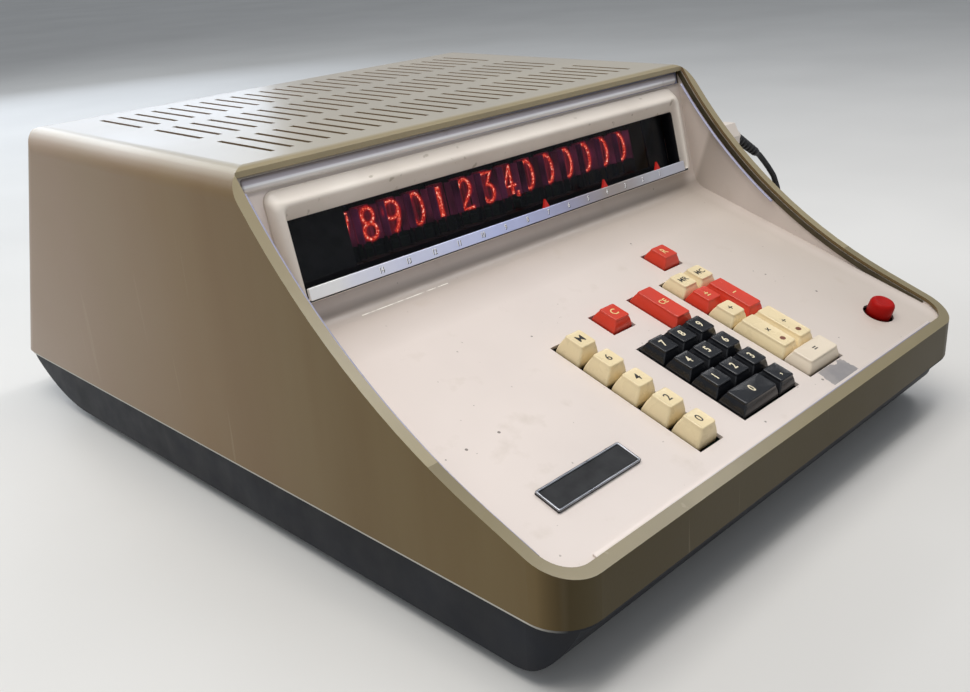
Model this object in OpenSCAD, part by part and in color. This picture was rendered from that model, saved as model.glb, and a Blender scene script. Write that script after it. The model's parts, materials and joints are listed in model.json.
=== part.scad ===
// Desk calculator with a row of nixie tubes. All sizes are in millimetres.
// The origin is on the table under the middle of the case. The front faces -Y and +Z is up.

/* [Case] */
// Width of the case
case_w = 372; // [364:1:410]
// Depth from the front lip to the rear lower edge
case_d = 516; // [506:1:560]
// Height of the top above the table
case_h = 201; // [194:1:230]
// Thickness of the cover's sheet
cover_t = 2; // [1:0.1:2.4]
// How far the rear wall leans in at the top
rear_lean = 86; // [60:1:95]
// Height of the front lip above the seam
lip_h = 22.5; // [20:0.5:26]
// Slope of the rim at the front, in degrees
lip_slope = 21; // [20:0.5:24]
// Length of the rim's straight front stretch
rim_run = 50; // [40:1:60]
// Radius of the rim's hollow curve
rim_r = 335; // [325:1:350]
// Width of the lip round the panel
lip_w = 6; // [5:0.5:8]
// Rounding of the top edges
edge_r = 14; // [8:1:18]
// Rounding of the top's front edge
brow_r = 8; // [5:0.5:10]
// Rounding of the front corners
front_r = 21; // [16:1:28]
// Rounding of the rear corners
rear_r = 16; // [10:1:24]

/* [Vents] */
// Number of slot columns across the top
vent_columns = 26; // [15:1:26]
// Rows of slots from front to back
vent_rows = 3; // [1:1:3]
// Length of a slot
slot_l = 50; // [30:1:54]
// Width of a slot
slot_w = 3; // [2:0.5:4]
// Pitch of the slot columns
slot_pitch = 11.6; // [8:0.1:11.8]
// Bridge between two slots in line
slot_bridge = 17; // [10:1:18]
// Distance from the top's front edge to the first slot
slot_start = 18; // [14:1:24]

/* [Base] */
// Height of the base pan
base_h = 30; // [26:1:36]
// Thickness of the base's sheet
base_t = 1.5; // [1:0.1:2]
// How far the pan's sides stand in from the cover
base_inset = 3; // [2:0.5:5]
// How far the pan's front stands behind the lip
base_setback = 8; // [6:0.5:12]
// Rounding of the pan's front lower edge
base_front_r = 27; // [18:1:28]
// Rounding of the pan's rear lower edge
base_rear_r = 110; // [90:1:120]
// Thickness of the seam flange
flange_t = 1.5; // [1:0.1:2]
// How far the seam flange reaches inwards
flange_w = 18; // [16:1:22]
// How far the seam flange reaches inwards at the front
flange_front = 8; // [5:0.5:9]
// Height of the rubber feet
foot_h = 7; // [5:0.5:10]
// Diameter of a foot
foot_d = 26; // [18:1:32]
// Diameter of the cover screws
screw_d = 4; // [3:0.5:5]

/* [Panel] */
// Thickness of the front panel
panel_t = 2; // [1.5:0.1:2.4]
// Slope of the keyboard, in degrees
kb_slope = 18; // [16:0.5:19]
// Slope of the display face, in degrees
disp_slope = 77; // [74:0.5:80]
// Radius between the keyboard and the display face
crease_r = 14; // [6:1:15]
// Gap between the panel and the cover
seat_gap = 0.3; // [0.2:0.05:0.4]
// Thickness of the bright trim
trim_t = 1; // [0.6:0.1:1.4]
// Width of the trim along the sides and the front
trim_w = 3; // [2:0.5:4]
// Width of the trim above the display
brow_trim_w = 7.5; // [5:0.5:9]

/* [Display] */
// Distance from the case's side to the window
window_side = 27; // [26:0.5:32]
// Distance from the top of the display face to the window
window_drop = 29; // [28:0.5:31]
// Least distance from the crease to the window
window_foot = 13; // [12:0.5:14]
// Greatest height of the window
window_high = 40.5; // [38:0.5:44]
// Width of the bezel beside the window
bezel_w = 5; // [4:0.5:7]
// Height of the slope inside the bezel's upper edge
bezel_slope = 8; // [6:0.5:9]
// How far the bezel stands proud
bezel_proud = 8; // [6:0.5:9]
// Depth of the bezel's sleeve behind the panel face
sleeve_l = 4; // [3:0.5:4.5]
// Thickness of the bezel's sleeve
sleeve_t = 2; // [1.5:0.1:2.5]
// Thickness of the window
window_t = 2; // [1.5:0.1:3]
// Height of the scale strip
strip_h = 6.5; // [5:0.5:8]
// How far the scale strip stands out of the bezel
strip_proud = 0.5; // [0.2:0.1:1]
// Number of tubes
tube_count = 14; // [8:1:14]
// Number of tube places that fit across the window
window_places = 17; // [16.5:0.1:18]
// Gap between two tubes
tube_gap = 1.3; // [1:0.1:2.5]
// Length of a tube's glass
tube_l = 40; // [36:0.5:42]
// How far the row of tubes sits right of the middle, in tube places
tube_shift = 0.45; // [0:0.05:0.65]
// Distance from the panel face back to the tubes' axis
tube_depth = 20.5; // [20:0.5:24]
// Height of a numeral
numeral_h = 18; // [14:0.5:19]
// Height of a tube socket
socket_h = 8; // [6:0.5:9]

/* [Keys] */
// Pitch of the keys
key_pitch = 17; // [16:0.1:17.4]
// Pitch of the keys in the left column
left_pitch = 19; // [17.6:0.1:19.4]
// Gap between two keycaps in one block
key_gap = 0.8; // [0.6:0.1:1.2]
// Height of the keycaps above the panel
cap_h = 6.5; // [5:0.5:8]
// Height of the left column's keycaps above the panel
left_cap_h = 9.2; // [7:0.1:10]
// Depth of a keycap's skirt below the panel face
cap_skirt = 3; // [2:0.5:4]
// How much narrower the cap's top is on the left and right
cap_side = 2.4; // [1.5:0.1:3.6]
// How much shorter the cap's top is at the front
cap_front = 2.4; // [1:0.1:4]
// How much shorter the cap's top is at the rear
cap_rear = 2.1; // [1:0.1:3]
// Depth of the dish in the cap's top
cap_dish = 0.5; // [0.3:0.1:0.8]
// Key travel
key_travel = 4; // [3:0.5:4.5]
// Diameter of the key stems
stem_d = 6; // [4:0.5:7]
// Radial clearance of a stem in its switch
stem_clear = 0.05; // [0.03:0.01:0.08]
// Diameter of the power button
power_d = 15; // [12:0.5:16]
// Power button travel
power_travel = 5; // [4:0.5:6]
// Gap round the power button
power_gap = 1.8; // [0.8:0.1:2.2]

/* [Inside] */
// Number of logic boards
board_count = 6; // [3:1:6]
// Pitch of the logic boards
board_pitch = 18; // [15:0.5:19]
// Width of a logic board
board_w = 280; // [240:1:290]
// Height of a logic board
board_h = 128; // [100:1:136]
// Thickness of every circuit board
pcb_t = 1.6; // [1.2:0.1:2]
// Diameter of the smoothing capacitors
cap_can_d = 34; // [25:1:38]
// Height of the smoothing capacitors
cap_can_h = 66; // [50:1:76]

/* [Mains lead] */
// Diameter of the lead
lead_d = 4.4; // [4:0.1:5]
// Turns of the coil
coil_turns = 6.5; // [4.5:1:6.5]
// Radial step of one turn, and the height of a layer
coil_step = 6.8; // [6.7:0.1:7.2]

/* [Hidden] */

$fn = 48;
eps = 0.01;
cut = 1;
far = 1000;

// Main levels and edges of the case
half_w = case_w / 2;
front = -case_d / 2;
rear = case_d / 2;
seam_z = foot_h + base_h;
lip_z = seam_z + lip_h;
lean = rear_lean / (case_h - seam_z);
lean_angle = atan(lean);
lean_k = sqrt(1 + lean * lean);
rim_tangent = [front + rim_run * cos(lip_slope), lip_z + rim_run * sin(lip_slope)];
rim_centre = rim_tangent + rim_r * [-sin(lip_slope), cos(lip_slope)];
brow_z = case_h - brow_r;
brow_centre = [rim_centre.x + sqrt(pow(rim_r + brow_r, 2) - pow(brow_z - rim_centre.y, 2)), brow_z];
brow_dir = (rim_centre - brow_centre) / norm(rim_centre - brow_centre);
rear_top_z = case_h - edge_r;
function rear_at(z, inset) = rear - (z - seam_z) * lean - inset * lean_k;
rear_centre = [rear_at(rear_top_z, edge_r), rear_top_z];
rear_dir = [1, lean] / lean_k;
opening_inset = 1.5;
opening_rear = brow_centre.x + brow_r * brow_dir.x + opening_inset;

// Keyboard plane and display plane, as points and slopes in the side view
function cross2(a, b) = a.x * b.y - a.y * b.x;
kb_dir = [cos(kb_slope), sin(kb_slope)];
disp_dir = [cos(disp_slope), sin(disp_slope)];
panel_ease = 1;
panel_front = front + cover_t + panel_ease;
panel_start = [panel_front,
    lip_z + (panel_front - front) * tan(lip_slope) - cover_t / cos(lip_slope) - seat_gap];
panel_top = [brow_centre.x, case_h - cover_t - seat_gap];
kb_len = cross2(panel_top - panel_start, disp_dir) / cross2(kb_dir, disp_dir);
crease = panel_start + kb_len * kb_dir;
disp_len = norm(panel_top - crease);
mid_slope = (kb_slope + disp_slope) / 2;
half_turn = (disp_slope - kb_slope) / 2;
crease_in = [-sin(mid_slope), cos(mid_slope)] / cos(half_turn);
wall_x = half_w - lip_w;
cover_in = cover_t + seat_gap;

// Display levels, measured up the display face from the crease
window_w = case_w - 2 * window_side;
window_rise = max(window_foot, disp_len - window_drop - window_high);
window_h = disp_len - window_rise - window_drop;
window_top = window_rise + window_h;
tube_pitch = window_w / window_places;
tube_d = tube_pitch - tube_gap;
numeral_drop = 14.5;
numeral_mid = window_top - numeral_drop;
tube_drop = 1;
tube_foot = numeral_mid - tube_l / 2 + tube_drop;
board_top = tube_foot - socket_h;
mask_t = 1.5;
brow_gap = 4;
bezel_ease = 1.5;
bezel_top = disp_len - brow_gap - brow_trim_w - bezel_ease;
bezel_lip = 1.5;
bezel_foot = 1.5;
slope_depth = 5;
slope_side = 1;
strip_t = 2;
strip_n = bezel_proud + strip_proud - strip_t;
bracket_t = 1.6;
glass_n = -sleeve_l - window_t;
mask_n = glass_n - mask_t;
function tube_x(i) = (tube_shift + i - (tube_count - 1) / 2) * tube_pitch;

// Key places: u runs right and v runs up the slope from the panel's front edge
first_row = 20.3;
left_u = -64;
digit_u = -24;
right_u = 41;
rear_key_gap = 10;
rear_key_v = first_row + 6 * key_pitch + rear_key_gap;
function row(r) = first_row + r * key_pitch;
function digit_col(c) = digit_u + c * key_pitch;
function right_col(c) = right_u + c * key_pitch;
cream = "navajowhite";
black = "darkslategray";
red = "firebrick";
// Name, u, v, columns, rows and colour of each key
KEYS = [
    for (i = [0:4]) [str("key_left_", i + 1), left_u, first_row + i * left_pitch, 1, 1, cream],
    ["key_digit_0", digit_col(0), row(0), 2, 1, black],
    ["key_comma", digit_col(2), row(0), 1, 1, black],
    for (i = [1:9]) [str("key_digit_", i), digit_col((i - 1) % 3), row(ceil(i / 3)), 1, 1, black],
    ["key_red_left", digit_col(0), row(5), 1, 1, red],
    ["key_red_long", digit_col(2), row(4), 1, 2, red],
    ["key_red_rear", right_col(1), rear_key_v, 1, 1, red],
    ["key_equals", right_col(0), row(0), 2, 1, "ivory"],
    ["key_times", right_col(0), row(1), 1, 2, cream],
    ["key_divide", right_col(1), row(1), 1, 2, cream],
    ["key_mid", right_col(0), row(3), 1, 1, cream],
    ["key_red_right", right_col(0), row(4), 1, 1, red],
    ["key_minus", right_col(1), row(3), 1, 2, red],
    ["key_top_a", right_col(0), row(5), 1, 1, cream],
    ["key_top_b", right_col(1), row(5), 1, 1, cream]];
function key_w(k) = k[3] * key_pitch;
function key_l(k) = k[4] * key_pitch;
function key_mid(k) = [k[1] + key_w(k) / 2, k[2] + key_l(k) / 2];
cutout_gap = 1.1;
housing_w = 14;
housing_gap = 2;
housing_top = -cap_skirt - key_travel - housing_gap;
housing_h = 17;
kb_board_top = housing_top - housing_h;
stem_tail = 3;
stem_end = kb_board_top + key_travel + stem_tail;
stud_d = 8;
stud_side = 16;
stud_rows = [26, 84, 142];
right_end = right_u + 2 * key_pitch;
stud_places = [for (u = [left_u - stud_side, right_end + stud_side]) for (v = stud_rows) [u, v]];
board_side = 24;
board_end = 4;
power_at = [139.5, 29.5];
power_cap_h = 9;
power_skirt = 4;
power_ease = 3;
power_top = -power_skirt - power_travel - power_ease;
power_box = 22;
power_box_h = 20;
power_post_d = 5;
name_at = [-124, 38.3];
name_size = [57, 14.5, 1.6];
name_frame = 1.2;
name_sunk = 0.3;

// Inside places
floor_z = foot_h + base_t;
cage_front = 0;
cage_end = 12;
cage_l = (board_count - 1) * board_pitch + 2 * cage_end;
cage_t = 2;
cage_over = 24;
cage_h = board_h + cage_over;
tie_d = 6;
back_rise = 14;
back_z = floor_z + back_rise;
back_t = 2;
slot_side = 5;
slot_block = [board_w - 2 * slot_side, 9, 11];
slot_depth = 5;
slot_ease = 0.1;
board_z = back_z + back_t + slot_block.z - slot_depth;
psu_gap = 42;
psu_y = cage_front + cage_l + psu_gap;
core_size = [78, 36, 66];
core_window = [14, 40];
core_side = 81;
core_x = core_side - half_w;
core_foot = 4;
core_ear = 8;
core_yoke = 2;
coil_clear = 0.4;
can_gap = 8;
can_pitch = cap_can_d + can_gap;
terminal_d = 5;
can_x = 0;
inlet_behind = 10.6;
inlet_drop = 59;
inlet_z = case_h - inlet_drop;
inlet_at = [crease.x + inlet_behind + (inlet_z - crease.y) / tan(disp_slope), inlet_z];
inlet_size = [11, 13];
inlet_depth = 14;
inlet_collar = [12, 16];

// Foot places, and screw places on the seam flange
foot_side = 45;
foot_front = 75;
foot_rear = 115;
foot_taper = 4;
screw_in = 11;
screw_x = half_w - screw_in;
screw_end = 70;
screw_ys = [front + screw_end, rear - screw_end];
tab_size = [20, 16, 3];
tab_hole = screw_d + 0.2;
flange_hole = screw_d + 0.6;
head_d = screw_d * 2;
head_ease = 3;
access_d = head_d + head_ease;
head_h = 3;
screw_reach = 6;

// Mains lead: the connector's axis, the free route and the coil
connector_size = [65, 14];
connector_low = 9;
connector_high = 6;
connector_slope = [4.7, 9];
neck_in = 5;
lead_start = [half_w + connector_size.x - neck_in, inlet_at.x, inlet_at.y];
lead_drop = 33;
lead_turn = 8;
lead_dir = [cos(lead_drop) * cos(lead_turn), -cos(lead_drop) * sin(lead_turn), -sin(lead_drop)];
neck_l = 10;
neck_d = 9;
relief_l = 30;
relief_d = 8;
relief_lip = 2;
lead_r = lead_d / 2;
run_start = lead_start + (neck_l + relief_l) * lead_dir;
lead_low = lead_r + 0.2;
LEAD_ROUTE = [
    [287.6, -59.6, 112.6], [291.8, -61.6, 106.7], [294.4, -65, 99.8], [295.6, -68, 90.6], [296, -70.2, 80.8],
    [296, -71.6, 70], [296, -72, 59.5], [296.3, -71, 49], [296.5, -68.7, 39], [296.6, -65.1, 29.7],
    [296.8, -60.5, 21.2], [296.9, -54.8, 13.8], [296.9, -48, 7.9], [297, -40.4, 3.9], [297, -32, lead_low],
    [297, -20, lead_low], [297, -8, lead_low], [297, 4, lead_low], [297, 16, lead_low]];
run_sides = 8;
coil_sides = 6;
coil_first = LEAD_ROUTE[len(LEAD_ROUTE) - 1];
coil_low = coil_first.z;
coil_mid_r = 32;
coil_out = coil_mid_r + coil_step * coil_turns / 4;
coil_at = [coil_first.x - coil_out, coil_first.y + 2 * lead_d];
coil_rings = 24;
plug_size = [32, 40, 2 * (coil_low + coil_step)];
plug_waist = 20;
pin_d = 4;
pin_l = 19;
pin_gap = 19;

// Layers and frames

module along_x(length) {
    rotate([90, 0, 90]) linear_extrude(length, center = true) children();
}

module along_y(start, end) {
    translate([0, end, 0]) rotate([90, 0, 0]) linear_extrude(end - start) children();
}

module on_keyboard() {
    translate([0, panel_start.x, panel_start.y]) rotate([kb_slope, 0, 0]) children();
}

module on_display() {
    translate([0, crease.x, crease.y]) rotate([disp_slope, 0, 0]) children();
}

module box(x, y, z) {
    translate([x[0], y[0], z[0]]) cube([x[1] - x[0], y[1] - y[0], z[1] - z[0]]);
}

// Rectangle with round front corners and round rear corners
module round_plan(x, y0, y1, r0, r1) {
    polygon([[-x, y0 + r0], [-x + r0, y0], [x - r0, y0], [x, y0 + r0],
             [x, y1 - r1], [x - r1, y1], [-x + r1, y1], [-x, y1 - r1]]);
    for (s = [-1, 1]) {
        translate([s * (x - r0), y0 + r0]) circle(r0);
        translate([s * (x - r1), y1 - r1]) circle(r1);
    }
}

// Side view of the case, set in by the given distance and cut off at the given level
module case_side(inset, low) {
    slope_in = inset * [sin(lip_slope), -cos(lip_slope)];
    difference() {
        polygon([[front + inset, low],
            [front + inset, lip_z + slope_in.y + (inset - slope_in.x) * tan(lip_slope)],
            rim_tangent + slope_in,
            brow_centre + (brow_r - inset) * brow_dir,
            [brow_centre.x, case_h - inset],
            [rear_centre.x, case_h - inset],
            rear_centre + (edge_r - inset) * rear_dir,
            [rear_at(low, inset), low]]);
        translate(rim_centre) circle(rim_r + inset, $fn = 180);
    }
    translate(brow_centre) circle(brow_r - inset);
    translate(rear_centre) circle(edge_r - inset);
}

// Front view of the case
module case_front(inset, low) {
    x = half_w - inset;
    r = edge_r - inset;
    top = case_h - inset;
    polygon([[-x, low], [x, low], [x, top - r], [x - r, top], [-x + r, top], [-x, top - r]]);
    for (s = [-1, 1]) translate([s * (x - r), top - r]) circle(r);
}

module case_solid(inset, low) {
    intersection() {
        along_x(case_w + cut) case_side(inset, low);
        along_y(front - cut, rear + cut) case_front(inset, low);
        translate([0, 0, low - cut]) linear_extrude(case_h)
            round_plan(half_w - inset, front + inset, rear + far, front_r - inset, 1);
        translate([0, rear, seam_z]) rotate([lean_angle, 0, 0])
            translate([0, 0, -far / 2]) linear_extrude(far)
            round_plan(half_w - inset, -far, -inset, 1, rear_r - inset);
    }
}

module vent_slots() {
    for (r = [0:vent_rows - 1]) for (c = [0:vent_columns - 1])
        translate([(c - (vent_columns - 1) / 2) * slot_pitch,
                   opening_rear + slot_start + r * (slot_l + slot_bridge) + slot_l / 2])
            square([slot_w, slot_l], center = true);
}

module screw_spots() {
    for (s = [-1, 1]) for (y = screw_ys) translate([s * screw_x, y, 0]) children();
}

module top_cover() {
    color("darkkhaki") difference() {
        union() {
            difference() {
                case_solid(0, seam_z);
                case_solid(cover_t, seam_z - cut);
            }
            for (s = [-1, 1]) for (y = screw_ys)
                translate([s * (half_w - cover_t / 2 - tab_size.x / 2), y, seam_z + tab_size.z / 2])
                    cube(tab_size, center = true);
        }
        translate([0, 0, lip_z - lip_h / 2]) linear_extrude(case_h)
            round_plan(wall_x, front + lip_w, opening_rear, front_r - lip_w, 1);
        translate([0, 0, case_h - 2 * cover_t]) linear_extrude(3 * cover_t) vent_slots();
        screw_spots() translate([0, 0, seam_z - cut]) cylinder(d = tab_hole, h = tab_size.z + 2 * cut);
        translate([half_w, inlet_at.x, inlet_at.y])
            cube([4 * cover_t, inlet_size.x + 2 * seat_gap, inlet_size.y + 2 * seat_gap], center = true);
    }
}

// Side view of the pan with its round front and rear lower edges
module pan_side(inset, top) {
    y0 = front + base_setback;
    rear_flat = rear - base_setback - sqrt(pow(base_rear_r, 2) - pow(base_rear_r - base_h, 2));
    low = foot_h + inset;
    intersection() {
        union() {
            polygon([[y0 + inset, far], [y0 + inset, foot_h + base_front_r], [y0 + base_front_r, low],
                     [rear_flat, low], [rear_flat, far]]);
            translate([y0 + base_front_r, foot_h + base_front_r]) circle(base_front_r - inset);
            translate([rear_flat, foot_h + base_rear_r]) circle(base_rear_r - inset, $fn = 120);
        }
        translate([front, 0]) square([case_d, top]);
    }
}

module pan_solid(inset, top) {
    intersection() {
        along_x(case_w) pan_side(inset, top);
        linear_extrude(case_h)
            round_plan(half_w - base_inset - inset, front + base_setback + inset, rear,
                       front_r - base_inset - inset, rear_r - inset);
    }
}

module base_pan() {
    flange_z = seam_z - flange_t;
    ring = base_inset + base_t + flange_w;
    edge = 0.6;
    front_ring = base_setback + base_t + flange_front;
    color("slategray") difference() {
        union() {
            difference() {
                pan_solid(0, flange_z + eps);
                pan_solid(base_t, flange_z + 2 * eps);
            }
            translate([0, 0, flange_z]) linear_extrude(flange_t) difference() {
                round_plan(half_w - edge, front + edge, rear - 2 * edge, front_r - edge,
                           rear_r + base_inset);
                round_plan(half_w - ring, front + front_ring, rear - base_setback - ring, rear_r, rear_r);
            }
        }
        screw_spots() translate([0, 0, flange_z - cut]) cylinder(d = flange_hole, h = flange_t + 2 * cut);
        screw_spots() cylinder(d = access_d, h = seam_z / 2 + foot_h);
    }
}

module rubber_feet() {
    color("black") for (x = [-1, 1]) for (y = [front + foot_front, rear - foot_rear])
        translate([x * (half_w - foot_side), y, 0])
            cylinder(d1 = foot_d - foot_taper, d2 = foot_d, h = foot_h);
}

module cover_screws() {
    color("silver") screw_spots() {
        translate([0, 0, seam_z - flange_t - head_h]) cylinder(d = head_d, h = head_h);
        translate([0, 0, seam_z - flange_t - eps]) cylinder(d = screw_d, h = flange_t + screw_reach);
    }
}

// Front panel: keyboard floor, display face, side walls and the studs of the keyboard board

module panel_side() {
    under = panel_t * [sin(kb_slope), -cos(kb_slope)];
    behind = panel_t * [sin(disp_slope), -cos(disp_slope)];
    polygon([panel_start, crease, panel_top, panel_top + behind - panel_t * disp_dir,
             crease - panel_t * crease_in, panel_start + under]);
    tangent = crease_r * tan(half_turn);
    difference() {
        polygon([crease - tangent * kb_dir, crease - eps * crease_in, crease + tangent * disp_dir,
                 crease + crease_r * crease_in]);
        translate(crease + crease_r * crease_in) circle(crease_r);
    }
}

module panel_recess() {
    polygon([panel_start, crease, panel_top, [panel_start.x, panel_top.y]]);
}

module panel_wall_side() {
    intersection() {
        panel_recess();
        case_side(cover_in, seam_z);
    }
}

module key_cutouts() {
    for (k = KEYS) {
        long = k[1] == left_u ? left_pitch : key_l(k);
        translate([k[1] - cutout_gap, k[2] + (key_l(k) - long) / 2 - cutout_gap])
            square([key_w(k) + 2 * cutout_gap, long + 2 * cutout_gap]);
    }
    translate(power_at) circle(d = power_d + 2 * power_gap);
}

// Space under the cover's round top edges
module under_cover() {
    intersection() {
        children();
        along_y(front, rear) case_front(cover_in, 0);
    }
}

module front_panel() {
    color("seashell") under_cover() difference() {
        union() {
            along_x(2 * wall_x) panel_side();
            for (s = [-1, 1]) translate([s * (wall_x + panel_t / 2), 0, 0]) along_x(panel_t) {
                panel_side();
                panel_wall_side();
            }
            on_keyboard() for (p = stud_places) translate([p.x, p.y, kb_board_top])
                cylinder(d = stud_d, h = -kb_board_top - panel_t / 2);
        }
        on_keyboard() translate([0, 0, -panel_t * 2]) linear_extrude(panel_t * 4) key_cutouts();
        on_display() translate([0, 0, -panel_t * 2]) linear_extrude(panel_t * 4) sleeve_outline(seat_gap);
        translate([0, 0, seam_z]) linear_extrude(case_h) difference() {
            translate([-case_w, front]) square([2 * case_w, front_r]);
            round_plan(half_w - cover_in, front + cover_in, rear, front_r - cover_in, 1);
        }
    }
}

module sleeve_outline(grow) {
    edge = sleeve_t + grow;
    translate([-window_w / 2 - edge, window_rise - edge])
        square([window_w + 2 * edge, window_h + 2 * edge]);
}

module panel_trim() {
    trim_lift = 0.2;
    front_v = (front + lip_w - panel_start.x) / cos(kb_slope) + trim_t * sin(kb_slope) + seat_gap;
    color("lightgray") {
        under_cover() for (s = [-1, 1]) translate([s * (wall_x - trim_t / 2), 0, 0]) along_x(trim_t)
            intersection() {
                translate([0, trim_lift]) panel_recess();
                translate([trim_lift, 0]) difference() {
                    case_side(cover_in, seam_z);
                    case_side(cover_in + trim_w, seam_z);
                }
                translate([front + front_r, 0]) square([case_d, case_h]);
            }
        on_display() box([-wall_x + trim_t, wall_x - trim_t],
                         [disp_len - brow_trim_w - brow_gap, disp_len - brow_gap], [0, trim_t]);
        on_keyboard() box([-wall_x + front_r, wall_x - front_r], [front_v, front_v + trim_w], [0, trim_t]);
    }
}

module nameplate() {
    color("dimgray") on_keyboard() translate([name_at.x, name_at.y, name_size.z / 2]) difference() {
        cube(name_size, center = true);
        translate([0, 0, name_size.z - name_sunk])
            cube(name_size - 2 * [name_frame, name_frame, 0], center = true);
    }
}

// Display

module display_bezel() {
    x = window_w / 2;
    edge = bezel_w + sleeve_t;
    bottom = window_rise - bezel_lip;
    low = bezel_proud - slope_depth;
    high = bezel_proud + cut;
    steep = (high - low) / slope_depth;
    color("whitesmoke") on_display() difference() {
        union() {
            along_x(2 * (x + edge)) polygon([[bottom, 0], [bezel_top, 0], [bezel_top, bezel_foot],
                [window_top + bezel_slope, bezel_proud], [bottom, bezel_proud]]);
            translate([0, 0, -sleeve_l]) linear_extrude(sleeve_l + cut) sleeve_outline(0);
        }
        translate([-x, window_rise, -sleeve_l - cut]) cube([window_w, window_h, sleeve_l + low + 2 * cut]);
        intersection() {
            along_x(2 * window_w) polygon([[window_rise, low], [window_top, low],
                [window_top + steep * bezel_slope, high], [window_rise, high]]);
            along_y(0, disp_len) polygon([[-x, low], [x, low], [x + steep * slope_side, high],
                [-x - steep * slope_side, high]]);
        }
    }
}

module display_window() {
    color("maroon", 0.5) on_display() translate([0, 0, glass_n]) linear_extrude(window_t) sleeve_outline(0);
}

module scale_strip() {
    color("silver") on_display() box([-window_w / 2, window_w / 2], [window_rise, window_rise + strip_h],
                                     [strip_n, strip_n + strip_t]);
}

module group_pointers() {
    side = 5;
    pointer_t = 1.5;
    color("red") on_display() for (g = [0:2])
        translate([tube_x(tube_count - 7 + 3 * g), window_rise + strip_h, strip_n])
            linear_extrude(pointer_t) polygon([[-side / 2, 0], [side / 2, 0], [0, side]]);
}

module display_mask() {
    left = 4;
    right = 10;
    lap = 1;
    color("black") on_display() translate([0, 0, mask_n]) linear_extrude(mask_t) difference() {
        sleeve_outline(0);
        translate([tube_x(0) - left, window_rise + strip_h + lap])
            square([tube_x(tube_count - 1) - tube_x(0) + left + right, window_h - strip_h - 2 * lap]);
    }
}

module each_tube() {
    on_display() for (i = [0:tube_count - 1])
        translate([tube_x(i), 0, -tube_depth]) rotate([-90, 0, 0]) children();
}

module nixie_tubes() {
    wall = 0.9;
    dome = tube_d / 2;
    color("lightblue", 0.4) each_tube() difference() {
        union() {
            translate([0, 0, tube_foot]) cylinder(d = tube_d, h = tube_l - dome);
            translate([0, 0, tube_foot + tube_l - dome]) sphere(d = tube_d);
        }
        translate([0, 0, tube_foot - cut]) cylinder(d = tube_d - 2 * wall, h = tube_l - dome + cut);
        translate([0, 0, tube_foot + tube_l - dome]) sphere(d = tube_d - 2 * wall);
    }
}

module cathode_stacks() {
    stack = [10, 4];
    over = 1;
    lead = 1.2;
    low = numeral_mid - numeral_h / 2;
    color("gray") each_tube() {
        translate([-stack.x / 2, over, low - over]) cube([stack.x, stack.y, numeral_h + 2 * over]);
        for (s = [-1, 1]) translate([s * stack.x / 3, over + stack.y / 2, tube_foot])
            cylinder(d = lead, h = low - tube_foot);
    }
}

module tube_sockets() {
    color("darkgoldenrod") each_tube() translate([0, 0, board_top]) cylinder(d = tube_d, h = socket_h);
}

module display_board() {
    side = tube_pitch / 2 + board_end;
    color("darkgreen") on_display()
        box([tube_x(0) - side, tube_x(tube_count - 1) + side], [board_top - pcb_t, board_top],
            [-tube_depth - tube_d, -tube_depth + tube_d / 2 + board_end / 2]);
}

module display_bracket() {
    side = tube_pitch / 2 + 1.5 * board_end;
    shelf = board_top - pcb_t;
    drop = 14;
    face = -panel_t - seat_gap;
    x = [tube_x(0) - side, tube_x(tube_count - 1) + side];
    color("gainsboro") on_display() {
        box(x, [shelf - bracket_t, shelf], [-tube_depth - tube_d - bracket_t, face]);
        box(x, [shelf - drop, shelf], [face - bracket_t, face]);
    }
}

// Keys

module keycap(k) {
    w = key_w(k) - key_gap;
    l = key_l(k) - key_gap;
    tall = k[1] == left_u ? left_cap_h : cap_h;
    full = tall + cap_skirt;
    dish_r = (pow(w / 2 - cap_side, 2) + pow(cap_dish, 2)) / (2 * cap_dish);
    at = key_mid(k);
    color(k[5]) on_keyboard() translate([at.x, at.y, 0]) {
        difference() {
            intersection() {
                along_y(-l, l) polygon([[-w / 2, -cap_skirt], [w / 2, -cap_skirt], [w / 2, 0],
                    [w / 2 - cap_side, tall], [-w / 2 + cap_side, tall], [-w / 2, 0]]);
                along_x(2 * w) polygon([[-l / 2, -cap_skirt], [l / 2, -cap_skirt], [l / 2, 0],
                    [l / 2 - cap_rear, tall], [-l / 2 + cap_front, tall], [-l / 2, 0]]);
            }
            translate([0, 0, tall + dish_r - cap_dish]) rotate([90, 0, 0])
                cylinder(r = dish_r, h = 3 * l, center = true, $fn = 96);
        }
        translate([0, 0, stem_end]) cylinder(d = stem_d, h = -stem_end - cap_skirt + full / 2);
    }
}

module key_switches() {
    color("saddlebrown") on_keyboard() for (k = KEYS) {
        at = key_mid(k);
        translate([at.x, at.y, kb_board_top]) difference() {
            translate([-housing_w / 2, -housing_w / 2, 0]) cube([housing_w, housing_w, housing_h]);
            translate([0, 0, -cut]) cylinder(d = stem_d + 2 * stem_clear, h = housing_h + 2 * cut);
        }
    }
}

module keyboard_board() {
    u = [left_u - board_side, right_end + board_side];
    color("darkgreen") on_keyboard() box(u, [first_row - board_end, rear_key_v + key_pitch + board_end],
                                         [kb_board_top - pcb_t, kb_board_top]);
}

module power_button() {
    round = 2;
    r = power_d / 2;
    color("red") on_keyboard() translate([power_at.x, power_at.y, 0]) {
        translate([0, 0, -power_skirt]) cylinder(r = r, h = power_skirt + power_cap_h - round);
        translate([0, 0, power_cap_h - round]) cylinder(r1 = r, r2 = r - round, h = round);
        translate([0, 0, power_top - power_box_h + power_travel + power_ease])
            cylinder(d = stem_d, h = power_box_h - power_top - power_travel - power_skirt);
    }
}

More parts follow.
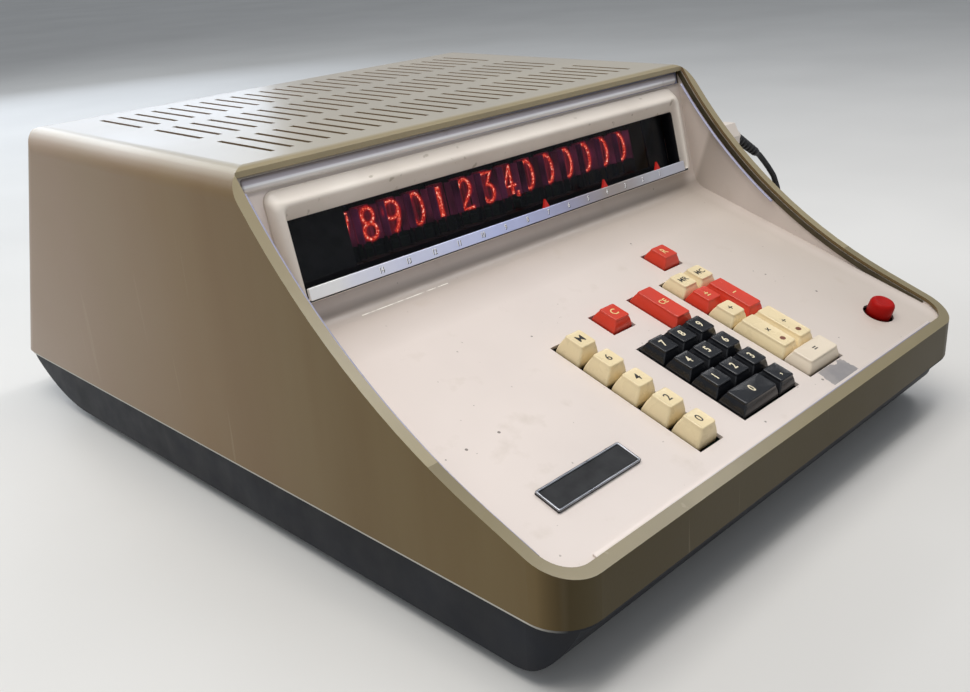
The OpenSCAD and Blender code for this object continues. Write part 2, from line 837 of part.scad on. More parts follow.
module power_switch() {
    side = power_box / 2;
    color("saddlebrown") on_keyboard() translate([power_at.x, power_at.y, 0]) difference() {
        union() {
            translate([-side, -side, power_top - power_box_h]) cube([power_box, power_box, power_box_h]);
            for (x = [-1, 1]) for (y = [-1, 1])
                translate([x * (side - power_post_d / 2), y * (side - power_post_d / 2), power_top - cut])
                    cylinder(d = power_post_d, h = -power_top + cut - panel_t);
        }
        translate([0, 0, power_top - power_box_h - cut])
            cylinder(d = stem_d + 2 * stem_clear, h = power_box_h + 2 * cut);
    }
}

// Inside the case

module card_cage() {
    x = board_w / 2 + seat_gap;
    color("silver") {
        for (s = [-1, 1]) translate([s * (x + cage_t / 2), cage_front + cage_l / 2, floor_z + cage_h / 2])
            cube([cage_t, cage_l, cage_h], center = true);
        for (y = [cage_front + tie_d, cage_front + cage_l - tie_d])
            translate([0, y, floor_z + cage_h - tie_d]) rotate([0, 90, 0])
                cylinder(d = tie_d, h = 2 * x + cage_t, center = true);
    }
}

function board_y(i) = cage_front + cage_end + i * board_pitch;

module backplane() {
    x = board_w / 2;
    color("seagreen") difference() {
        union() {
            box([-x, x], [cage_front + back_t, cage_front + cage_l - back_t], [back_z, back_z + back_t]);
            for (i = [0:board_count - 1])
                translate([0, board_y(i), back_z + back_t + slot_block.z / 2 - eps])
                    cube(slot_block, center = true);
        }
        for (i = [0:board_count - 1]) translate([0, board_y(i), board_z + far / 2])
            cube([board_w + cut, pcb_t + 2 * slot_ease, far], center = true);
    }
}

module logic_boards() {
    chip = [18, 3, 7];
    chip_side = 4;
    chip_rows = 5;
    color("green") for (i = [0:board_count - 1]) translate([0, board_y(i), board_z]) {
        translate([0, 0, board_h / 2]) cube([board_w, pcb_t, board_h], center = true);
        for (c = [-chip_side:chip_side]) for (r = [1:chip_rows])
            translate([c * board_w / (2 * chip_side + 2), -pcb_t / 2 - chip.y / 2 + eps,
                       r * board_h / (chip_rows + 1)])
                cube(chip, center = true);
    }
}

module transformer_core() {
    color("dimgray") translate([core_x, psu_y, floor_z]) difference() {
        union() {
            translate([-core_size.x / 2, -core_size.y / 2, core_foot]) cube(core_size);
            translate([-core_size.x / 2 - core_ear, -core_size.y / 2, 0])
                cube([core_size.x + 2 * core_ear, core_size.y, core_foot]);
        }
        for (s = [-1, 1])
            translate([s * (core_size.x / 4 - core_yoke), 0, core_foot + core_size.z / 2])
                cube([core_window.x, core_size.y + 2 * cut, core_window.y], center = true);
    }
}

module transformer_coil() {
    limb = core_size.x / 2 - 2 * core_yoke - core_window.x;
    size = [limb + 2 * core_window.x - 2 * coil_clear, core_size.y + 2 * core_window.x - 2 * core_yoke,
            core_window.y - 2 * coil_clear];
    color("peru") translate([core_x, psu_y, floor_z + core_foot + core_size.z / 2]) difference() {
        cube(size, center = true);
        cube([limb + 2 * coil_clear, core_size.y + 2 * coil_clear, size.z + cut], center = true);
    }
}

module smoothing_capacitors() {
    color("lightsteelblue") for (i = [0:2]) translate([can_x + i * can_pitch, psu_y, floor_z]) {
        cylinder(d = cap_can_d, h = cap_can_h);
        for (s = [-1, 1]) translate([s * cap_can_d / 5, 0, cap_can_h - eps])
            cylinder(d = terminal_d, h = terminal_d);
    }
}

// Mains lead on the right-hand wall

module mains_inlet() {
    color("ivory") translate([half_w - inlet_depth, inlet_at.x, inlet_at.y]) {
        translate([0, -inlet_size.x / 2, -inlet_size.y / 2])
            cube([inlet_depth, inlet_size.x, inlet_size.y]);
        translate([0, -inlet_collar.x / 2, -inlet_collar.y / 2])
            cube([inlet_depth - cover_t - seat_gap, inlet_collar.x, inlet_collar.y]);
    }
}

module along_lead(start) {
    translate(lead_start + start * lead_dir) rotate([0, 90 + lead_drop, -lead_turn]) children();
}

module lead_connector() {
    depth = connector_size.y / 2;
    color("beige") {
        translate([half_w + connector_size.x / 2, inlet_at.x, inlet_at.y]) along_x(connector_size.x)
            polygon([[-depth, -connector_low], [depth, -connector_low], [depth, connector_high],
                     [connector_slope.x - depth, connector_high],
                     [-depth, connector_high - connector_slope.y]]);
        along_lead(0) cylinder(d = neck_d, h = neck_l);
    }
}

module strain_relief() {
    color("black") along_lead(neck_l) cylinder(d1 = relief_d, d2 = lead_d + relief_lip, h = relief_l);
}

function unit(v) = v / norm(v);
function tangent_at(p, i) = unit(p[min(i + 1, len(p) - 1)] - p[max(i - 1, 0)]);
function ring_at(p, i, sides, side_ref) =
    let (t = tangent_at(p, i), a = unit(cross(t, side_ref)), b = cross(t, a))
    [for (s = [0:sides - 1]) p[i] + lead_r * (cos(360 * s / sides) * a + sin(360 * s / sides) * b)];

// One closed tube of triangles along the given points
module tube_along(p, sides, side_ref) {
    rings = len(p);
    points = [for (i = [0:rings - 1]) each ring_at(p, i, sides, side_ref)];
    last = (rings - 1) * sides;
    faces = [
        for (i = [0:rings - 2]) for (s = [0:sides - 1])
            let (a = i * sides + s, b = i * sides + (s + 1) % sides) each
            [[a, a + sides, b], [b, a + sides, b + sides]],
        for (s = [1:sides - 2]) [0, s, s + 1],
        for (s = [1:sides - 2]) [last, last + s + 1, last + s]];
    polyhedron(points, faces);
}

// The coil winds in on the table, climbs in the half turn where it reverses, and winds out on top
function coil_radius(t) = coil_out - coil_step * min(t, coil_turns - t);
function coil_height(t) = coil_low + coil_step * min(1, max(0, 2 * t - coil_turns + 0.5));
function coil_point(t) = [coil_at.x + coil_radius(t) * cos(360 * t),
                          coil_at.y + coil_radius(t) * sin(360 * t), coil_height(t)];
coil_tail = [0, 8 * lead_d, 0];
COIL_ROUTE = [
    coil_first,
    coil_first + [0, lead_d, 0],
    for (i = [0:coil_turns * coil_rings]) coil_point(i / coil_rings),
    coil_point(coil_turns) - coil_tail];
coil_apart = ceil(coil_rings / 2);
coil_gap = min([for (i = [0:len(COIL_ROUTE) - 1]) for (j = [i + coil_apart:len(COIL_ROUTE) - 1])
    norm(COIL_ROUTE[i] - COIL_ROUTE[j])]) - lead_d;
echo(coil_least_gap = coil_gap);

module mains_lead() {
    run_ref = [1, 1, 0];
    path = concat([run_start, run_start + lead_d * lead_dir], LEAD_ROUTE);
    color("black") tube_along(path, run_sides, run_ref);
}

module lead_coil() {
    color("black") tube_along(COIL_ROUTE, coil_sides, [0, 0, 1]);
}

module mains_plug() {
    neck = COIL_ROUTE[len(COIL_ROUTE) - 1];
    color("black") translate([neck.x, neck.y - plug_size.y, 0]) {
        linear_extrude(plug_size.z) polygon([[-plug_waist / 2, plug_size.y], [plug_waist / 2, plug_size.y],
            [plug_size.x / 2, plug_size.y / 2], [plug_size.x / 2, 0], [-plug_size.x / 2, 0],
            [-plug_size.x / 2, plug_size.y / 2]]);
        for (s = [-1, 1]) translate([s * pin_gap / 2, cut, plug_size.z / 2]) rotate([90, 0, 0])
            cylinder(d = pin_d, h = pin_l + cut);
    }
}

top_cover();
base_pan();
rubber_feet();
cover_screws();
front_panel();
panel_trim();
nameplate();
display_bezel();
display_window();
scale_strip();
group_pointers();
display_mask();
nixie_tubes();
cathode_stacks();
tube_sockets();
display_board();
display_bracket();
key_switches();
keyboard_board();
power_switch();
power_button();
card_cage();
backplane();
logic_boards();
transformer_core();
transformer_coil();
smoothing_capacitors();
mains_inlet();
lead_connector();
strain_relief();
mains_lead();
lead_coil();
mains_plug();
for (k = KEYS) keycap(k);
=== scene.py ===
"""Looks of the desk calculator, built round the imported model.

The camera, the paints and the light are in metres. Pieces are drawn in millimetres and scaled when placed.
"""
import json
import math

import bmesh
import bpy
from mathutils import Matrix, Vector


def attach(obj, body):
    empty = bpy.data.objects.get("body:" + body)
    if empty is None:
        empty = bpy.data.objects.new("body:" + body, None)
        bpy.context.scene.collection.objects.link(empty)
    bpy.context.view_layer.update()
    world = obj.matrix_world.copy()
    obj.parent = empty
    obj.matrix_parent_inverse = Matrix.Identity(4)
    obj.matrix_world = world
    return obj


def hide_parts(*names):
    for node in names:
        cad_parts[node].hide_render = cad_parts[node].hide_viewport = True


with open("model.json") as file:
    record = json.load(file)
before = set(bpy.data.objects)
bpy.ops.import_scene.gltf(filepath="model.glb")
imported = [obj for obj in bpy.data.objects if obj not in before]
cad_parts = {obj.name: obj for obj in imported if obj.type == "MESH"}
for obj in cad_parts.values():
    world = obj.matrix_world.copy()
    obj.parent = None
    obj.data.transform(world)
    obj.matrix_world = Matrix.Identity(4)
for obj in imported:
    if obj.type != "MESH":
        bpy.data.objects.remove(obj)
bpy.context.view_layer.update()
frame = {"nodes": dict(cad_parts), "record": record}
nodes = frame["nodes"]
scene = bpy.context.scene
scene.view_settings.view_transform = "Standard"

MM = 0.001
CHASSIS = "chassis"


# Frames of the two sloped faces, as in the part's source: x right, y up the slope, z out of the face
def sloped(y_mm, z_mm, slope):
    return Matrix.Translation((0, y_mm * MM, z_mm * MM)) @ Matrix.Rotation(math.radians(slope), 4, "X")


KEYBOARD = sloped(-255.0, 58.209, 18)
DISPLAY = sloped(-69.205, 118.578, 77)

# Tubes along the display, in millimetres
TUBES, TUBE_PITCH, TUBE_SHIFT, TUBE_DEPTH = 14, 18.7059, 8.4176, 20.5


def tube_x(i):
    return TUBE_SHIFT + (i - (TUBES - 1) / 2) * TUBE_PITCH


# Camera at the photograph's place: position, view angles in degrees, and focal length in pixels
CAMERA_AT = (-0.4315, -0.4767, 0.3008)
AZIMUTH, ELEVATION, ROLL = -43.98, 22.405, -3.845
FOCAL_PX, IMAGE_W, SENSOR_MM = 1033.2, 970, 36


def make_camera():
    az, el, roll = (math.radians(a) for a in (AZIMUTH, ELEVATION, ROLL))
    back = Vector((math.sin(az) * math.cos(el), -math.cos(az) * math.cos(el), math.sin(el)))
    level = Vector((math.cos(az), math.sin(az), 0))
    up = back.cross(level)
    right = math.cos(roll) * level + math.sin(roll) * up
    top = math.cos(roll) * up - math.sin(roll) * level
    data = bpy.data.cameras.new("camera")
    data.sensor_fit = "HORIZONTAL"
    data.sensor_width = SENSOR_MM
    data.lens = FOCAL_PX / IMAGE_W * SENSOR_MM
    data.clip_start = 0.01
    camera = bpy.data.objects.new("camera", data)
    rotation = Matrix((right, top, back)).transposed().to_4x4()
    camera.matrix_world = Matrix.Translation(CAMERA_AT) @ rotation
    scene.collection.objects.link(camera)
    scene.camera = camera


make_camera()


# Materials

def srgb(r, g, b):
    """Linear colour of a screen colour given as 0 to 255."""
    def line(c):
        c /= 255
        return c / 12.92 if c <= 0.04045 else ((c + 0.055) / 1.055) ** 2.4
    return (line(r), line(g), line(b), 1)


class Paint:
    """One procedural material: a Principled shader and short calls that add its texture nodes."""

    def __init__(self, name, roughness=0.5, metallic=0.0, **sockets):
        self.mat = bpy.data.materials.new(name)
        self.mat.use_nodes = True
        self.tree = self.mat.node_tree
        self.shader = self.tree.nodes["Principled BSDF"]
        self.shader.inputs["Roughness"].default_value = roughness
        self.shader.inputs["Metallic"].default_value = metallic
        for socket, value in sockets.items():
            self.shader.inputs[socket.replace("_", " ")].default_value = value
        self.coords = self.node("ShaderNodeTexCoord").outputs["Object"]

    def node(self, kind, **inputs):
        made = self.tree.nodes.new(kind)
        for key, value in inputs.items():
            self.feed(made.inputs[key.replace("_", " ")], value)
        return made

    def feed(self, socket, value):
        if isinstance(value, bpy.types.NodeSocket):
            self.tree.links.new(value, socket)
        else:
            socket.default_value = value

    def math(self, operation, a, b=0.0):
        made = self.tree.nodes.new("ShaderNodeMath")
        made.operation = operation
        self.feed(made.inputs[0], a)
        self.feed(made.inputs[1], b)
        return made.outputs[0]

    def both(self, a, b):
        return self.math("MULTIPLY", a, b)

    def between(self, value, low, high):
        """1 where value lies between low and high, and 0 elsewhere."""
        return self.both(self.math("GREATER_THAN", value, low), self.math("LESS_THAN", value, high))

    def noise(self, scale, detail=3.0, stretch=(1, 1, 1)):
        place = self.node("ShaderNodeMapping", Vector=self.coords, Scale=stretch)
        made = self.node("ShaderNodeTexNoise", Vector=place.outputs[0], Scale=scale, Detail=detail)
        return made.outputs["Fac"]

    def ramp(self, fac, *stops):
        made = self.node("ShaderNodeValToRGB", Fac=fac)
        elements = made.color_ramp.elements
        while len(elements) < len(stops):
            elements.new(0.5)
        for element, (at, colour) in zip(elements, stops):
            element.position = at
            element.color = colour if len(colour) == 4 else (*colour, 1)
        return made.outputs["Color"]

    def level(self, fac, low, high, a=0.0, b=1.0):
        """fac between low and high, spread over a to b."""
        made = self.node("ShaderNodeMapRange", Value=fac)
        for key, value in zip(("From Min", "From Max", "To Min", "To Max"), (low, high, a, b)):
            made.inputs[key].default_value = value
        return made.outputs[0]

    def mix(self, fac, a, b):
        made = self.tree.nodes.new("ShaderNodeMix")
        made.data_type = "RGBA"
        self.feed(made.inputs[0], fac)
        self.feed(made.inputs[6], a)
        self.feed(made.inputs[7], b)
        return made.outputs[2]

    def axis(self, name):
        return self.node("ShaderNodeSeparateXYZ", Vector=self.coords).outputs[name]

    def along(self, matrix, direction):
        """Distance along a direction of a sloped face's frame, measured from that frame's origin."""
        way = matrix.to_3x3() @ Vector(direction)
        made = self.tree.nodes.new("ShaderNodeVectorMath")
        made.operation = "DOT_PRODUCT"
        self.feed(made.inputs[0], self.coords)
        made.inputs[1].default_value = way
        return self.math("SUBTRACT", made.outputs["Value"], way.dot(matrix.translation))

    def colour(self, value):
        self.feed(self.shader.inputs["Base Color"], value)
        return self

    def rough(self, value):
        self.feed(self.shader.inputs["Roughness"], value)
        return self

    def bump(self, height, strength=0.2, distance=0.0004):
        made = self.node("ShaderNodeBump", Height=height, Strength=strength, Distance=distance)
        self.feed(self.shader.inputs["Normal"], made.outputs[0])
        return self

    def glow(self, colour, strength):
        self.feed(self.shader.inputs["Emission Color"], colour)
        self.feed(self.shader.inputs["Emission Strength"], strength)
        return self


def shade(colour, factor):
    return tuple(c * factor for c in colour[:3]) + (1,)


def moulded(name, colour, roughness=0.3, spread=0.12, specular=0.5):
    """Plastic or plain enamel: soft mottling, an uneven gloss and a fine skin."""
    p = Paint(name, roughness, Specular_IOR_Level=specular)
    cloud = p.noise(38, 4)
    p.colour(p.ramp(cloud, (0.3, shade(colour, 1 - spread)), (0.7, colour)))
    p.rough(p.level(p.noise(120, 3), 0.3, 0.7, roughness * 0.8, roughness * 1.25))
    return p.bump(p.noise(1040, 2), 0.08, 0.0002)


def metal(name, colour, roughness=0.25, stretch=(1, 1, 1), spread=0.15):
    """Bare metal with a fine grain, drawn out along the axes where stretch is small."""
    p = Paint(name, roughness, 1.0)
    grain = p.noise(300, 3, stretch)
    p.colour(p.ramp(grain, (0.3, shade(colour, 1 - spread)), (0.7, colour)))
    p.rough(p.level(p.noise(90, 4), 0.3, 0.7, roughness * 0.7, roughness * 1.4))
    return p.bump(grain, 0.05, 0.0001)


# Where the paints of the case change, in metres along Y and Z of the frame: the painted light to the rear,
# the painted shade on the sides and below the lip, the painted sheen on top, and the pan's seam line
REAR_LIGHT_Y, FLANK_SHADE_Y = (-0.15, 0.26), (-0.25, 0.26)
LIP_Z, TOP_SHEEN_Z = 0.09, (0.15, 0.17)
SEAM_LINE_Z, SEAM_FADE_Y = 0.0354, (-0.252, -0.235)


def olive_paint():
    """Old enamel: painted shade, brown at the front of the sides and dark below the lip; painted light and
    sheen, greyer to the rear and on top.
    """
    p = Paint("olive_paint", 0.4, Coat_Roughness=0.22)
    base = srgb(148, 135, 100)
    streaks = p.noise(26, 4, (1, 1, 0.12))
    clouds = p.noise(7, 3)
    colour = p.ramp(streaks, (0.25, shade(base, 0.86)), (0.75, shade(base, 1.05)))
    colour = p.mix(p.level(clouds, 0.35, 0.7, 0.0, 0.3), colour, shade(base, 1.14))
    # Painted light: lighter and greyer towards the rear
    colour = p.mix(p.level(p.axis("Y"), *REAR_LIGHT_Y, 0.0, 0.55), colour, srgb(158, 142, 126))
    facing = p.node("ShaderNodeSeparateXYZ", Vector=p.node("ShaderNodeTexCoord").outputs["Normal"])
    # Painted sheen: faces that look up, high on the case, are paler
    top = p.both(p.level(facing.outputs["Z"], 0.90, 0.99, 0.0, 0.55), p.level(p.axis("Z"), *TOP_SHEEN_Z))
    colour = p.mix(top, colour, srgb(182, 176, 166))
    # Painted shade on the sides: darkest and brownest at the front, lighter towards the rear
    side = p.level(p.math("ABSOLUTE", facing.outputs["X"]), 0.3, 0.8)
    flank_shade = p.ramp(p.level(p.axis("Y"), *FLANK_SHADE_Y), (0.0, srgb(101, 82, 50)), (0.25, srgb(110, 90, 60)),
                   (0.5, srgb(132, 109, 82)), (1.0, srgb(168, 149, 134)))
    colour = p.mix(p.both(side, p.level(streaks, 0.25, 0.75, 0.75, 1.0)), colour, flank_shade)
    # Painted shade: front faces below the lip are darkened
    front = p.both(p.level(facing.outputs["Y"], -0.2, -0.75), p.math("LESS_THAN", p.axis("Z"), LIP_Z))
    colour = p.mix(p.both(front, 0.9), colour, srgb(62, 52, 30))
    scratch = p.noise(170, 2, (1, 1, 0.05))
    p.colour(p.mix(p.level(scratch, 0.72, 0.78, 0.0, 0.15), colour, srgb(185, 172, 146)))
    dull = p.math("MAXIMUM", side, front)
    p.feed(p.shader.inputs["Coat Weight"], p.level(dull, 0.0, 1.0, 0.45, 0.0))
    p.feed(p.shader.inputs["Specular IOR Level"], p.level(dull, 0.0, 1.0, 0.5, 0.12))
    p.rough(p.level(clouds, 0.3, 0.7, 0.32, 0.46))
    return p.bump(p.noise(700, 2), 0.07, 0.0003)


def pan_paint():
    """Dark enamel, with a bright line along the seam at its top."""
    p = Paint("pan_paint", 0.5, Specular_IOR_Level=0.25)
    above = p.math("GREATER_THAN", p.axis("Z"), SEAM_LINE_Z)
    seam = p.both(above, p.level(p.axis("Y"), *SEAM_FADE_Y))
    dark = p.ramp(p.noise(30, 4), (0.3, srgb(18, 20, 26)), (0.7, srgb(28, 31, 38)))
    p.colour(p.mix(seam, dark, srgb(196, 194, 186)))
    p.feed(p.shader.inputs["Metallic"], p.both(seam, 0.9))
    p.rough(p.level(p.noise(60, 3), 0.3, 0.7, 0.45, 0.6))
    return p.bump(p.noise(600, 2), 0.08, 0.0003)


# Marks on the front panel, in metres across (U) and up (V) the keyboard's slope: the painted shade at the
# right and the painted shadow under the display, a worn patch, a thin scratch that is partly a painted
# highlight, and small dark specks of three sizes
RIGHT_SHADE_U, RIGHT_WALL_U = (-0.02, 0.15), (0.166, 0.174)
DISPLAY_SHADE_V, DISPLAY_FOOT_V = (0.158, 0.194), (0.1955, 0.1985)
PATCH_U, PATCH_V = (0.0465, 0.0715), (0.0062, 0.0185)
SCRATCH_GLINT_U, SCRATCH_GLINT_V = (-0.130, -0.069), (0.1889, 0.1896)
SPECK_SIZES = (0.0004, 0.0006, 0.0008)
SPECKS_UV = ((0.110, 0.1012), (0.1139, 0.0946), (0.1266, 0.0653), (0.0911, 0.030), (-0.0165, 0.0125),
             (0.044, 0.014), (-0.0173, 0.091), (0.0646, 0.1639), (-0.157, 0.0831), (-0.1694, 0.0834),
             (-0.0656, 0.1281), (-0.136, 0.0832))


def panel_paint():
    """Pale enamel, with painted shade to the right and a painted shadow under the display, and the marks
    above.
    """
    p = Paint("panel_paint", 0.38, Coat_Weight=0.15, Coat_Roughness=0.2)
    base = srgb(228, 216, 208)
    colour = p.ramp(p.noise(9, 4), (0.3, shade(base, 0.94)), (0.7, shade(base, 1.02)))
    u, v = p.along(KEYBOARD, (1, 0, 0)), p.along(KEYBOARD, (0, 1, 0))
    # Painted shade: greyer to the right, less so on the right wall
    right = p.both(p.level(u, *RIGHT_SHADE_U, 0.0, 0.65), p.level(u, *RIGHT_WALL_U, 1.0, 0.55))
    colour = p.mix(right, colour, srgb(186, 174, 160))
    # Painted shadow under the display, weaker on the display's own face
    shaded = p.both(p.level(v, *DISPLAY_SHADE_V, 0.0, 0.6), p.level(v, *DISPLAY_FOOT_V, 1.0, 0.1))
    colour = p.mix(shaded, colour, srgb(150, 138, 126))
    grime = p.noise(55, 5)
    colour = p.mix(p.level(grime, 0.62, 0.78, 0.0, 0.25), colour, srgb(176, 160, 138))
    ragged = p.both(p.math("SUBTRACT", p.noise(120, 5), 0.5), 0.012)
    worn_u, worn_v = p.math("ADD", u, ragged), p.math("ADD", v, ragged)
    worn = p.both(p.between(worn_u, *PATCH_U), p.between(worn_v, *PATCH_V))
    worn = p.both(worn, p.level(p.noise(70, 4), 0.3, 0.6, 0.75, 1.0))
    colour = p.mix(worn, colour, srgb(138, 134, 134))
    specks = 0.0
    for i, (speck_u, speck_v) in enumerate(SPECKS_UV):
        du, dv = p.math("SUBTRACT", u, speck_u), p.math("SUBTRACT", v, speck_v)
        far = p.math("ADD", p.both(du, du), p.both(dv, dv))
        speck = p.math("LESS_THAN", far, SPECK_SIZES[i % len(SPECK_SIZES)] ** 2)
        specks = p.math("MAXIMUM", speck, specks)
    colour = p.mix(p.both(specks, 0.75), colour, srgb(74, 62, 50))
    # A thin scratch near the crease under the display: worn paint, and partly a painted highlight of the
    # crease
    scratch = p.both(p.between(u, *SCRATCH_GLINT_U), p.between(v, *SCRATCH_GLINT_V))
    scratch = p.both(scratch, p.level(p.noise(150, 3), 0.36, 0.52))
    colour = p.mix(scratch, colour, srgb(250, 246, 236))
    dots = p.math("GREATER_THAN", p.noise(420, 1), 0.80)
    p.colour(p.mix(p.both(dots, 0.5), colour, srgb(120, 105, 88)))
    p.rough(p.level(grime, 0.3, 0.7, 0.3, 0.46))
    return p.bump(p.noise(800, 2), 0.06, 0.0003)


# Places on the display, in metres across it, up its face and out of it: the bezel's dark opening, the painted
# shadow line at the scale bar's foot, the painted shade under the brow, the stretch of the tubes with the
# painted glow, the bar and the brow
OPENING_HALF, OPENING_TOP, OPENING_LIP = 0.163, 0.0542, 0.0029
STRIP_FOOT, FOOT_SHADOW_HALF = 0.0130, 0.0006
BROW_SHADE = (0.0635, 0.0695)
GLOW_FOOT, GLOW_HEAD = (0.0262, 0.0300), (0.0500, 0.0478)
STRIP_HALF = 0.159
BROW_LOW, BROW_HIGH = 0.0707, 0.0782


def bezel_plastic():
    """Off-white plastic: black in the opening, a painted shadow line under the scale bar, and painted shade
    under the brow.
    """
    p = Paint("bezel_plastic", 0.35)
    up, out = p.along(DISPLAY, (0, 1, 0)), p.along(DISPLAY, (0, 0, 1))
    within = p.both(p.math("LESS_THAN", p.math("ABSOLUTE", p.axis("X")), OPENING_HALF),
                    p.math("LESS_THAN", up, OPENING_TOP))
    inner = p.both(within, p.math("LESS_THAN", out, OPENING_LIP))
    pale = p.ramp(p.noise(24, 4), (0.3, srgb(214, 204, 192)), (0.7, srgb(226, 217, 206)))
    chips = p.level(p.noise(160, 4), 0.66, 0.72, 0.0, 0.6)
    pale = p.mix(chips, pale, srgb(150, 138, 118))
    # Painted shade: greyer up under the brow
    pale = p.mix(p.level(up, *BROW_SHADE, 0.0, 0.6), pale, srgb(146, 138, 132))
    # Painted shadow: a dark line across the opening at the scale bar's foot
    from_foot = p.math("ABSOLUTE", p.math("SUBTRACT", up, STRIP_FOOT))
    under = p.both(within, p.math("LESS_THAN", from_foot, FOOT_SHADOW_HALF))
    p.colour(p.mix(p.math("MAXIMUM", inner, under), pale, srgb(9, 9, 13)))
    return p.bump(p.noise(700, 2), 0.06, 0.0003)


def see_through(name, colour, alpha, roughness=0.06):
    """Dark tinted glass that lets most of the light through."""
    p = Paint(name, roughness, Alpha=alpha)
    p.colour(p.ramp(p.noise(40, 2), (0.3, shade(colour, 0.7)), (0.7, colour)))
    p.mat.surface_render_method = "BLENDED"
    return p


def lit_wire():
    """Neon glow on a numeral's wire: bright beads where the anode mesh lets it through."""
    p = Paint("lit_wire", 0.6)
    beads = p.noise(820, 2)
    p.colour(srgb(60, 12, 8))
    hue = p.ramp(beads, (0.36, (0.45, 0.008, 0.006)), (0.48, (0.95, 0.06, 0.03)),
                 (0.58, (1.0, 0.24, 0.13)), (0.66, (1.0, 0.62, 0.50)))
    return p.glow(hue, p.level(beads, 0.36, 0.64, 0.5, 2.6))


def soft_glow(name, strength, alpha):
    """Thin red light round a lit wire."""
    p = Paint(name, 1.0, Alpha=alpha, Specular_IOR_Level=0.0)
    p.colour((0.02, 0.0, 0.0, 1))
    p.mat.surface_render_method = "BLENDED"
    hue = p.ramp(p.noise(300, 2), (0.3, (0.8, 0.012, 0.012)), (0.7, (1.0, 0.05, 0.03)))
    return p.glow(hue, strength)


def haze():
    """Dark metal round a lit numeral, with the red light that it catches painted on as a glow, and dark gaps
    between the tubes.
    """
    p = Paint("cathode_metal", 0.45, 0.6)
    from_first = p.math("SUBTRACT", p.axis("X"), tube_x(0) * MM)
    # Counted in tubes, with enough added that it stays positive and is a half at the middle of each tube
    count = p.math("ADD", p.math("DIVIDE", from_first, TUBE_PITCH * MM), 20.5)
    off = p.math("ABSOLUTE", p.math("SUBTRACT", p.math("FRACT", count), 0.5))
    streaks = p.noise(620, 2, (1, 0.08, 0.08))
    p.colour(p.ramp(streaks, (0.3, srgb(16, 9, 14)), (0.7, srgb(44, 22, 30))))
    # Painted glow: the red light caught by the metal, strongest at each tube's middle and only along the lit
    # stretch
    light = p.ramp(off, (0.05, (0.16, 0.010, 0.020)), (0.28, (0.10, 0.010, 0.026)),
                   (0.42, (0.030, 0.010, 0.034)))
    up = p.along(DISPLAY, (0, 1, 0))
    near = p.both(p.level(up, *GLOW_FOOT), p.level(up, *GLOW_HEAD))
    return p.glow(light, p.both(near, p.level(streaks, 0.34, 0.66, 0.25, 1.9)))


def wavy(p, value, scale, swing):
    """A place along a bright bar, shifted a little to and fro so that the painted reflection bands on it
    don't end straight.
    """
    return p.math("ADD", value, p.both(p.math("SUBTRACT", p.noise(scale, 2), 0.5), swing))


def strip_chrome():
    """Bright bar with a painted reflection: a painted highlight white at its left end, then pale blue, and
    browner to the right.
    """
    p = Paint("strip_chrome", 0.22, 0.2)
    across = wavy(p, p.level(p.axis("X"), -STRIP_HALF, STRIP_HALF), 45, 0.12)
    # Painted reflection and highlight along the bar
    p.colour(p.ramp(across, (0.05, srgb(255, 255, 255)), (0.12, srgb(238, 240, 255)),
                    (0.42, srgb(206, 215, 255)), (0.60, srgb(176, 178, 206)), (0.75, srgb(172, 162, 156)),
                    (0.93, srgb(200, 202, 214))))
    return p.bump(p.noise(500, 2, (0.1, 1, 1)), 0.03, 0.0001)


def brow_chrome():
    """Half-round bright moulding with a painted reflection: a painted highlight line low on it, and greyer
    above.
    """
    p = Paint("brow_chrome", 0.22, 0.3)
    rise = p.level(p.along(DISPLAY, (0, 1, 0)), BROW_LOW, BROW_HIGH)
    # Painted reflection bands up the moulding, with a painted highlight line low on it
    bands = p.ramp(rise, (0.0, srgb(222, 215, 208)), (0.28, srgb(216, 212, 212)), (0.36, srgb(255, 255, 255)),
                   (0.46, srgb(250, 250, 255)), (0.54, srgb(206, 198, 204)), (1.0, srgb(186, 176, 176)))
    worn = p.level(p.noise(90, 4), 0.62, 0.75, 0.0, 0.5)
    p.colour(p.mix(worn, bands, srgb(150, 140, 128)))
    return p.bump(p.noise(400, 2, (0.1, 1, 1)), 0.03, 0.0001)


# Trim: the front strip's span across the case, its painted stretch up the slope, and where the painted shade
# of the sides begins
TRIM_X, TRIM_PAINTED_V, TRIM_SIDE_X = (-0.16, 0.18), (0.0052, 0.0080), 0.1775


def trim_chrome():
    """Narrow bright strip with a painted reflection, bluer to the right, and painted over along its rear
    half; painted shade and dark reflection in olive at the sides.
    """
    p = Paint("trim_chrome", 0.3, 0.3)
    across = p.level(wavy(p, p.axis("X"), 40, 0.03), *TRIM_X)
    # Painted reflection along the front strip, bluer to the right
    front = p.ramp(across, (0.1, srgb(214, 204, 194)), (0.35, srgb(190, 184, 186)),
                   (0.55, srgb(150, 150, 172)), (0.9, srgb(128, 128, 150)))
    painted = p.between(p.along(KEYBOARD, (0, 1, 0)), *TRIM_PAINTED_V)
    front = p.mix(painted, front, srgb(224, 212, 204))
    # Painted shade and dark reflection at the sides: dark olive
    at_side = p.math("GREATER_THAN", p.math("ABSOLUTE", p.axis("X")), TRIM_SIDE_X)
    olive = p.ramp(p.noise(60, 3), (0.3, srgb(56, 49, 30)), (0.7, srgb(78, 69, 46)))
    p.colour(p.mix(at_side, front, olive))
    return p.bump(p.noise(500, 2), 0.02, 0.0001)


CREAM, BLACK, RED = srgb(240, 220, 176), srgb(22, 23, 27), srgb(216, 64, 42)
IVORY = srgb(232, 217, 194)
GOLD, INK, PALE = srgb(238, 208, 140), srgb(30, 26, 24), srgb(240, 228, 196)

